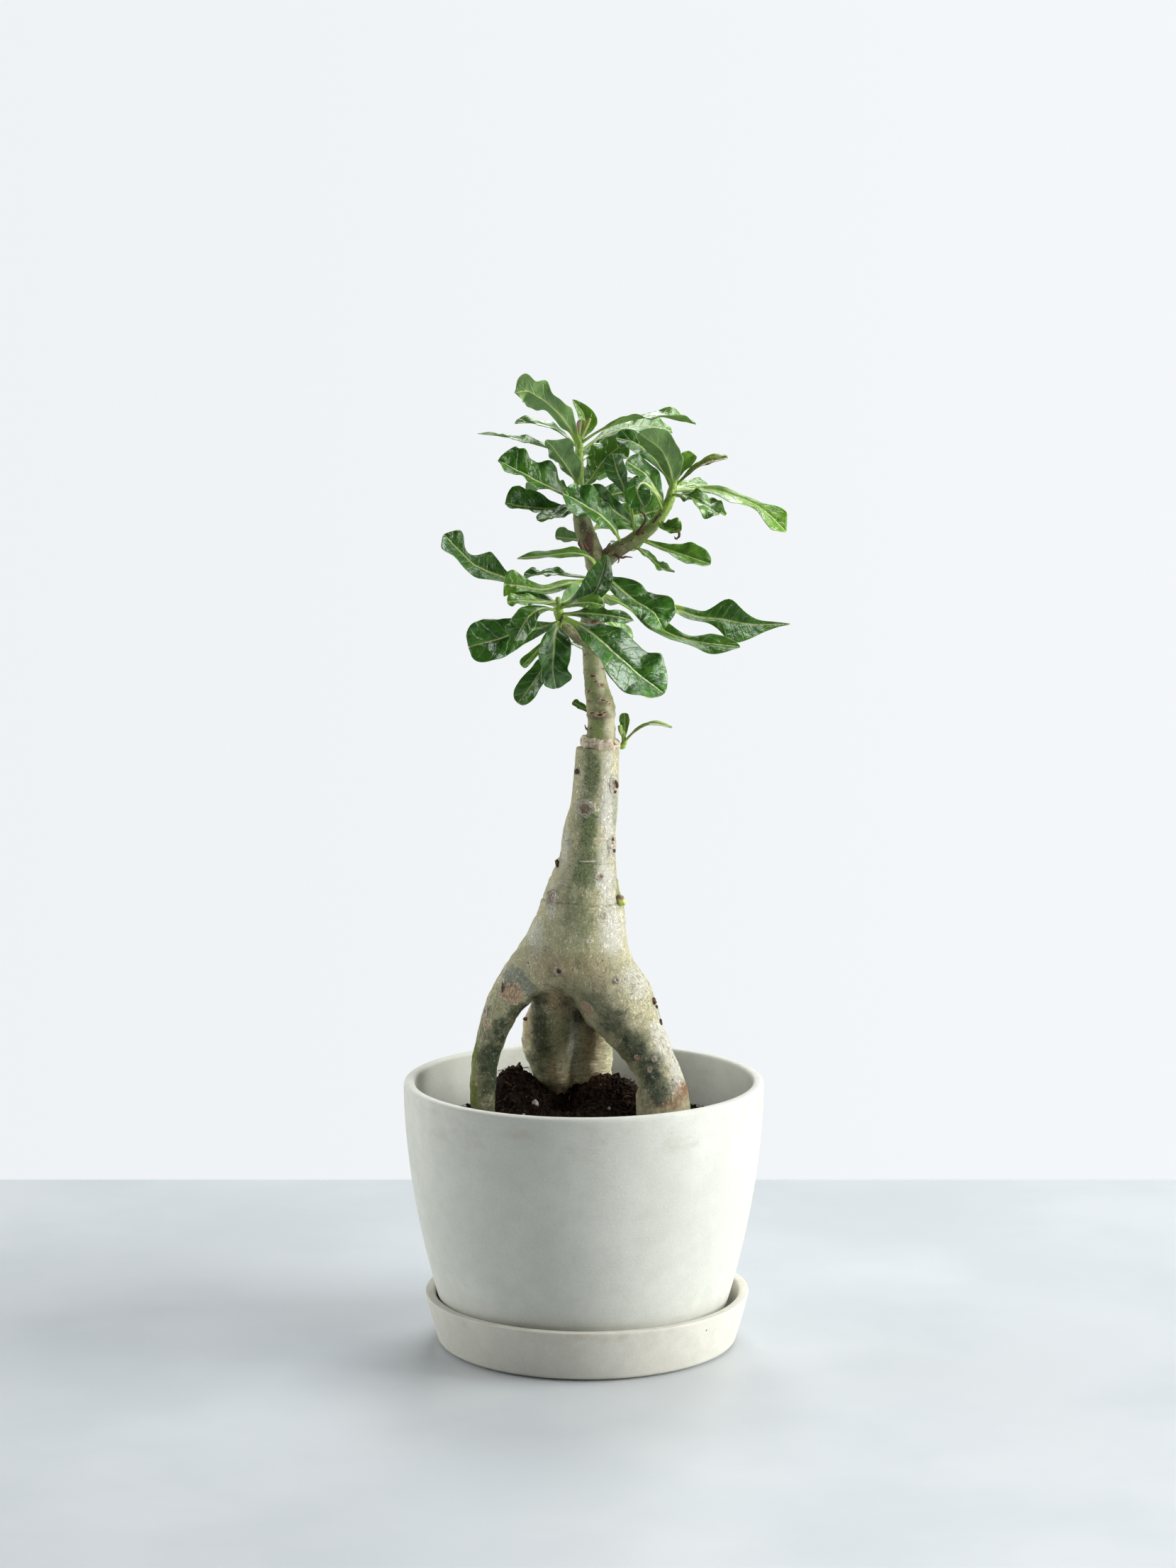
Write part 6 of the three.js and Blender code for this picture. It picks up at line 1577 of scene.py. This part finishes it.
LEADER_LEAVES = [
    dict(path=[(-2.5, 0, 499), (-8, -9, 510), (-18, -16, 521.5), (-29, -20, 528.5), (-37, -22, 528)],
         width=20, face=(0.45, 0.85, 0.3), wave=2.2, waves=3, fold=8, age=0.52,
         edges=[[0.15, 0.35, 0.5, 0.6, 0.75, 0.9, 1, 0.9, 0.75, 0.35, 0],
                [0.15, 0.3, 0.45, 0.7, 0.75, 0.55, 0.95, 0.5, 1.1, 0.55, 0]]),
    dict(path=[(-2, 0, 501), (0.4, 5, 509), (0, 8, 516), (-6, 10, 523.6)],
         width=14, face=(0.2, -1, 0.1), fold=22, wave=0.4, stalk=0.05, age=0.7,
         edges=[[0.1, 0.3, 0.7, 1, 1, 0.75, 0.45, 0.2, 0], [0.1, 0.3, 0.4, 0.45, 0.5, 0.5, 0.4, 0.2, 0]]),
    dict(path=[(-2.2, 0, 501.5), (-1.6, -1.6, 507), (-0.9, -2.4, 513)],
         width=6.5, face=(0.2, 1, 0.1), fold=25, wave=0, stalk=0, age=1.5,
         edges=[[0, 0.3, 0.6, 0.85, 1, 0.6], [0, 0.3, 0.6, 0.85, 1, 0.7]]),
    dict(path=[(-2.2, 0, 501), (0.9, -2.6, 507.5), (3.6, -4.2, 513.8)],
         width=2.8, face=(-0.5, 1, 0.1), fold=20, wave=0, stalk=0, age=1.35),
    dict(path=[(-2.3, 0, 499.5), (10, -5, 508), (25, -9, 513.3), (42, -12, 514.8), (60.5, -14, 511)],
         width=15, face=(-0.2, -0.1, 1), wave=2.4, stalk=0.2, age=0.6),
    dict(path=[(-2.4, 0, 495), (9, 7, 503), (22, 14, 507.5), (35, 19, 508.8), (48.5, 23, 506)],
         width=15, face=(-0.1, -0.6, 0.8), wave=1.8, stalk=0.18, age=0.5),
    dict(path=[(-2.4, 0, 497), (-12, 8, 505.5), (-24, 13, 510.5), (-37.5, 16, 511)],
         width=11, face=(0.2, -0.3, 0.95), wave=1, stalk=0.2, age=0.4),
    dict(path=[(-2.5, 0, 492), (-15, 2, 496.5), (-30, 3, 501), (-43, 4, 503.8), (-57.5, 4, 505.5)],
         width=9, face=(0.1, -0.25, 1), wave=1.2, stalk=0.25, age=0.4,
         edges=[[0.2, 0.5, 0.8, 0.9, 0.9, 1, 0.7, 0.35, 0.2, 0],
                [0.2, 0.5, 0.7, 0.9, 1, 0.9, 0.8, 0.4, 0.2, 0]]),
    dict(path=[(-2.5, -1, 477), (-7.5, -8, 486), (-13, -11, 494), (-20, -13, 502.5)],
         width=18, face=(0.55, 0.8, 0.2), fold=18, wave=1.6, age=0.45,
         edges=[[0.1, 0.4, 0.6, 0.75, 0.8, 0.8, 0.7, 0.6, 0.4],
                [0.1, 0.5, 0.8, 0.9, 0.95, 1.1, 1.2, 0.5, 0.1]]),
    dict(path=[(-2.2, 0, 470), (-14, -7, 474.5), (-26, -10, 480.5), (-36, -11, 486), (-45, -11, 490.5)],
         width=25, face=(0.3, -0.7, 0.7), fold=30, wave=1.8, waves=3, age=0.3, notch=1.5,
         edges=[[0.1, 0.5, 0.85, 1, 0.85, 0.7, 0.95, 1, 0.6],
                [0.1, 0.35, 0.5, 0.65, 0.8, 0.55, 0.6, 0.75, 0.5]]),
    dict(path=[(-2.2, 0, 465.5), (-18, -5, 464.8), (-31, -8, 466), (-42.5, -10, 468)],
         width=22, face=(0.1, -0.7, 0.75), fold=36, wave=1, age=0.15),
    dict(path=[(-2, -1.5, 466.5), (-6, -12, 466.5), (-14, -20, 463), (-25, -24, 460)],
         width=9, face=(0.2, -0.4, 0.9), wave=0.8, age=0.3),
    dict(path=[(-2, 0, 465.5), (-10, -1, 461.8), (-20, -2, 460)],
         width=7, face=(0.1, -0.5, 0.9), wave=0.5, age=0.3),
    dict(path=[(-2.4, 0, 473), (4, 6, 481), (11.5, 10, 491), (23, 13, 500)],
         width=21, face=(-0.5, -0.75, 0.3), wave=2.4, waves=3, age=0.42),
    dict(path=[(-2.3, 1, 489), (3, 14, 494), (12, 22, 498), (24, 28, 500)],
         width=12, face=(-0.2, -0.7, 0.7), wave=1.2, age=0.3),
    dict(path=[(-2.2, 0, 468), (10, 7, 470.5), (21, 12, 472.8), (32, 15, 476)],
         width=15, face=(-0.1, -0.85, 0.5), wave=1, age=0.3),
    dict(path=[(-2.3, 1, 484), (-5, 18, 491), (-7, 35, 493), (-8, 50, 489)],
         width=18, face=(0, -0.3, 0.95), age=0.3),
    dict(path=[(-2.3, 1, 477), (3, 20, 482), (7, 38, 483), (9, 54, 478)],
         width=18, face=(0, -0.3, 0.95), age=0.3),
    dict(path=[(-2.2, 1, 470), (-12, 14, 475), (-21, 27, 476), (-28, 38, 472)],
         width=16, face=(0.1, -0.3, 0.95), age=0.3),
]
LEADER_STEM = [(-0.9, 0, 460, 3.9), (-1.6, 0, 465, 3.4), (-2.2, 0, 472, 3), (-2.5, 0, 485, 2.6),
               (-2.3, 0, 503, 1.9), (-2.2, 0, 505, 0.9)]
leafy("leader_leaves", LEADER_LEAVES, "leader_shoot")
soft_stem("leader_stem", LEADER_STEM, "leader_shoot")

# Right shoot
# The soft green tip of the right branch, with its leaves in a loose spiral. Bright new ones stand
# upright in its middle, and older ones hang out round them.

RIGHT_LEAVES = [
    dict(path=[(49, -4, 476), (47, -8, 486.5), (42, -11, 497), (30.5, -13, 506)],
         width=18, face=(0.4, 0.85, 0.3), wave=1.2, age=0.5, notch=1,
         edges=[[0.1, 0.35, 0.6, 0.75, 0.85, 0.9, 0.9, 0.8, 0.5],
                [0.1, 0.4, 0.7, 0.95, 1.05, 1.05, 1, 0.85, 0.5]]),
    dict(path=[(48.5, -4, 474), (43.5, 0, 485), (36, 2, 494.5), (27, 2, 500.5), (17.5, 1, 503)],
         width=13, face=(-0.3, -0.7, 0.6), wave=1, stalk=0.2, age=0.2),
    dict(path=[(44.5, -4, 465.5), (39.5, -8, 475), (33, -11, 484), (23, -13, 491)],
         width=15, face=(-0.3, -0.6, 0.75), wave=1.4, age=0.25),
    dict(path=[(43, -5, 463.5), (38.5, -13, 474), (32.5, -18, 479.5), (29, -21, 475), (32.5, -22.5, 467)],
         width=15, face=(0.1, -0.5, 0.85), tip_face=(-0.2, -0.98, -0.1), wave=0.8, stalk=0.3, age=0.2),
    dict(path=[(49.3, -4, 478.5), (53.5, -1, 486), (60.5, 0, 494)],
         width=11, face=(-0.5, -0.8, 0.3), fold=30, wave=0.6, stalk=0.1, age=0.9, taper=0.3),
    dict(path=[(49.3, -4, 478.5), (51, -5.6, 483), (52, -6.2, 489)],
         width=3.2, face=(-0.3, 1, 0.1), fold=22, wave=0, stalk=0, age=0.9),
    dict(path=[(49, -4, 476.5), (57.5, -6, 484.5), (66.5, -8, 490.3), (78, -9, 492.8)],
         width=8.5, face=(-0.4, -0.45, 0.8), wave=0.5, age=1.4),
    dict(path=[(48, -4.5, 472.5), (55, -15, 472.5), (63, -23, 469), (72.5, -28, 463)],
         width=15, face=(0.1, -0.5, 0.85), wave=3.6, waves=2, age=0.4),
    dict(path=[(48, -3.5, 472), (58, -3, 471.2), (67, -5, 468.5), (77, -8, 461.5)],
         width=9, face=(0.1, -0.4, 0.9), wave=1.4, age=0.5),
    dict(path=[(48.4, -4, 474.5), (62, -3, 475.6), (78, -3, 473), (95, -4, 466), (110, -5, 452.5)],
         width=17, face=(0.1, -0.45, 0.9), tip_face=(0.5, -0.85, 0.4), wave=1.6, waves=2, phase=1,
         stalk=0.22, age=0.75,
         edges=[[0.15, 0.25, 0.35, 0.65, 1.1, 0.85, 0.3, 0.3, 0.85, 1, 0.3],
                [0.15, 0.2, 0.25, 0.3, 0.3, 0.3, 0.25, 0.3, 0.8, 0.95, 0.3]]),
    dict(path=[(48.4, -4, 474.5), (57, 6, 477.5), (68, 11, 477)],
         width=9, face=(0, -0.5, 0.85), wave=0.8, age=0.6),
    dict(path=[(41, -4.4, 460), (43, -9, 455.5), (48, -12, 454.5), (53, -13, 454)],
         width=12, face=(0.1, -0.8, 0.6), fold=34, wave=0.8, age=0.5),
    dict(path=[(47.5, -3, 471), (52, 14, 475), (57, 30, 475), (61, 43, 470)],
         width=16, face=(-0.1, -0.3, 0.95), age=0.3),
]
RIGHT_STEM = [(34, -3.9, 453, 3.6), (38, -4.3, 456.5, 3.2), (41.5, -4.6, 460.5, 3), (45.5, -4.4, 467, 2.8),
              (48, -4, 474, 2.5), (49.5, -4, 480, 1.7), (49.9, -4, 482, 0.8)]
leafy("right_leaves", RIGHT_LEAVES, "right_shoot")
soft_stem("right_stem", RIGHT_STEM, "right_shoot")

# Left shoot
# A low rosette of leaves on the soft green tip of the spur. Its largest glossy leaf hangs forward
# across the stem.

LEFT_LEAVES = [
    dict(path=[(-13.5, -21.5, 413), (-25, -8, 419.5), (-42, -6, 427), (-57, -6, 433), (-67, -7, 442),
               (-76, -7, 451)],
         width=21, face=(0.35, -0.8, 0.5), wave=1.4, stalk=0.3, age=0.2,
         edges=[[0.1, 0.2, 0.3, 0.8, 1.1, 0.9, 0.4, 0.15, 0.3, 0.7, 0.8, 0.3],
                [0.1, 0.2, 0.3, 0.45, 0.6, 0.6, 0.65, 0.65, 0.6, 0.75, 0.8, 0.3]]),
    dict(path=[(-13.6, -21, 412), (-11, -17, 415), (-6, -14, 418), (-1, -12, 420.5)],
         width=15, face=(0.15, 0.75, 0.6), wave=0.4, fold=4, stalk=0, age=0.42),
    dict(path=[(-13.5, -21.5, 412.5), (-3, -28, 417), (5.5, -31, 421.5), (10, -31, 431),
               (12.5, -31, 441.5)],
         width=18, face=(-0.25, -0.95, 0.25), fold=26, wave=1, age=0.1,
         edges=[[0.1, 0.3, 0.5, 0.65, 0.8, 0.9, 0.9, 0.75, 0.5, 0.15],
                [0.1, 0.3, 0.55, 0.8, 1, 1, 0.9, 0.65, 0.4, 0.1]]),
    dict(path=[(-13.5, -21.5, 412.5), (-22, -15, 416), (-31, -12, 418.5), (-41, -11, 418)],
         width=13, face=(0.1, -0.8, 0.55), wave=1, age=0.2),
    dict(path=[(-13.8, -22, 415.5), (-24, -29, 416), (-33, -31, 417), (-41, -32, 416.3)],
         width=10, face=(0.1, -0.6, 0.8), wave=1.2, age=0.7),
    dict(path=[(-13.5, -21.5, 411), (-22, -31, 412.5), (-29, -35, 409), (-33.5, -36, 402.5),
               (-37, -35, 396)],
         width=16, face=(0.2, -0.5, 0.85), tip_face=(-0.5, -0.85, 0.1), wave=1.4, age=0.3),
    dict(path=[(-11.5, -19, 405.5), (-22, -23, 402), (-36, -26, 399), (-48, -27.5, 395.5), (-61, -28, 392)],
         width=24, face=(0.1, -0.92, 0.35), wave=1.2, age=0.15, notch=1.2, taper=0.3),
    dict(path=[(-12, -20, 406.5), (-15, -28, 400), (-16, -31, 389), (-16.5, -31, 379), (-15, -29, 370)],
         width=19.5, face=(0.1, -0.98, -0.1), wave=1.4, age=0.2, notch=0.8,
         edges=[[0.1, 0.3, 0.6, 0.85, 0.95, 0.85, 0.55, 0.65, 0.6, 0.4],
                [0.1, 0.4, 0.75, 0.95, 1, 0.95, 0.75, 1, 1, 0.6]]),
    dict(path=[(-11, -17.5, 404.5), (-19, -19, 396), (-27, -20, 387), (-33.5, -20, 380.5)],
         width=6.5, face=(-0.2, -0.8, 0.5), wave=0.4, stalk=0.4, age=0.55),
    dict(path=[(-11, -18, 404.5), (-16.5, -23.5, 394), (-20, -25, 384), (-26, -26, 374), (-35.5, -26, 361)],
         width=13, face=(-0.3, -0.9, 0.3), wave=0.8, stalk=0.3, age=0.3),
    dict(path=[(-13, -21, 412), (-5, -34, 415.5), (3, -38, 416.5), (10.5, -40, 415.5)],
         width=9, face=(0, -0.75, 0.65), wave=0.6, age=0.45),
    dict(path=[(-12.8, -20.8, 408.5), (-2, -31, 410), (8, -35, 410), (17, -37, 409), (27, -38, 407)],
         width=11.5, face=(0, -0.8, 0.6), wave=1.2, waves=3, age=0.25,
         edges=[[0.1, 0.2, 0.5, 0.8, 0.8, 0.9, 0.9, 0.7, 0.5, 0],
                [0.1, 0.2, 0.45, 0.9, 1, 0.3, 0.5, 0.85, 0.4, 0]]),
    dict(path=[(-12, -20, 407), (3, -37, 401), (15.5, -48, 391.5), (29, -56, 380), (42, -60, 370.5)],
         width=32, face=(0.25, -0.75, 0.65), wave=2.2, fold=10, age=0.15, notch=1, tip=0.2,
         edges=[[0.1, 0.3, 0.5, 0.68, 0.78, 0.88, 0.98, 1, 0.95, 0.75],
                [0.1, 0.35, 0.65, 0.85, 0.9, 0.8, 0.95, 1, 0.85, 0.65]]),
]
LEFT_STEM = [(-10, -17.2, 403.5, 3.2), (-13, -21, 408.5, 2.8), (-13.6, -22, 413, 2.4), (-13.8, -22, 417, 1.6),
             (-13.9, -22, 418.4, 0.8)]
leafy("left_leaves", LEFT_LEAVES, "left_shoot")
soft_stem("left_stem", LEFT_STEM, "left_shoot")

# Graft sprout
# A small sprout that grew out of the graft's right side on a bent soft stem. It carries one green leaf,
# one narrow reddish one and a new one, still folded.

SPROUT_LEAVES = [
    dict(path=[(22, 0, 337.5), (22.6, 3, 345), (22.6, 4, 352.5)],
         width=6, face=(-0.3, -0.9, 0.2), wave=0.4, age=0.4),
    dict(path=[(22, 0, 336.5), (28, -3, 343), (37, -5, 347.5), (48.5, -6, 345.5)],
         width=5, face=(-0.2, -0.3, 0.95), wave=0.3, age=1.3),
    dict(path=[(21.7, 0, 340), (20.4, -1.6, 343), (19.9, -2, 346.5)],
         width=2.6, face=(0, 1, 0.1), wave=0, stalk=0, age=1.2),
]
SPROUT_STEM = [(17.6, 0, 334.4, 1.6), (20.2, 0, 334.4, 1.5), (21.4, 0, 334.6, 1.6), (22.2, 0, 336.6, 1.5),
               (22, 0, 340, 1.2), (21.5, 0, 343, 0.9)]
leafy("sprout_leaves", SPROUT_LEAVES, "graft_sprout")
soft_stem("sprout_stem", SPROUT_STEM, "graft_sprout")
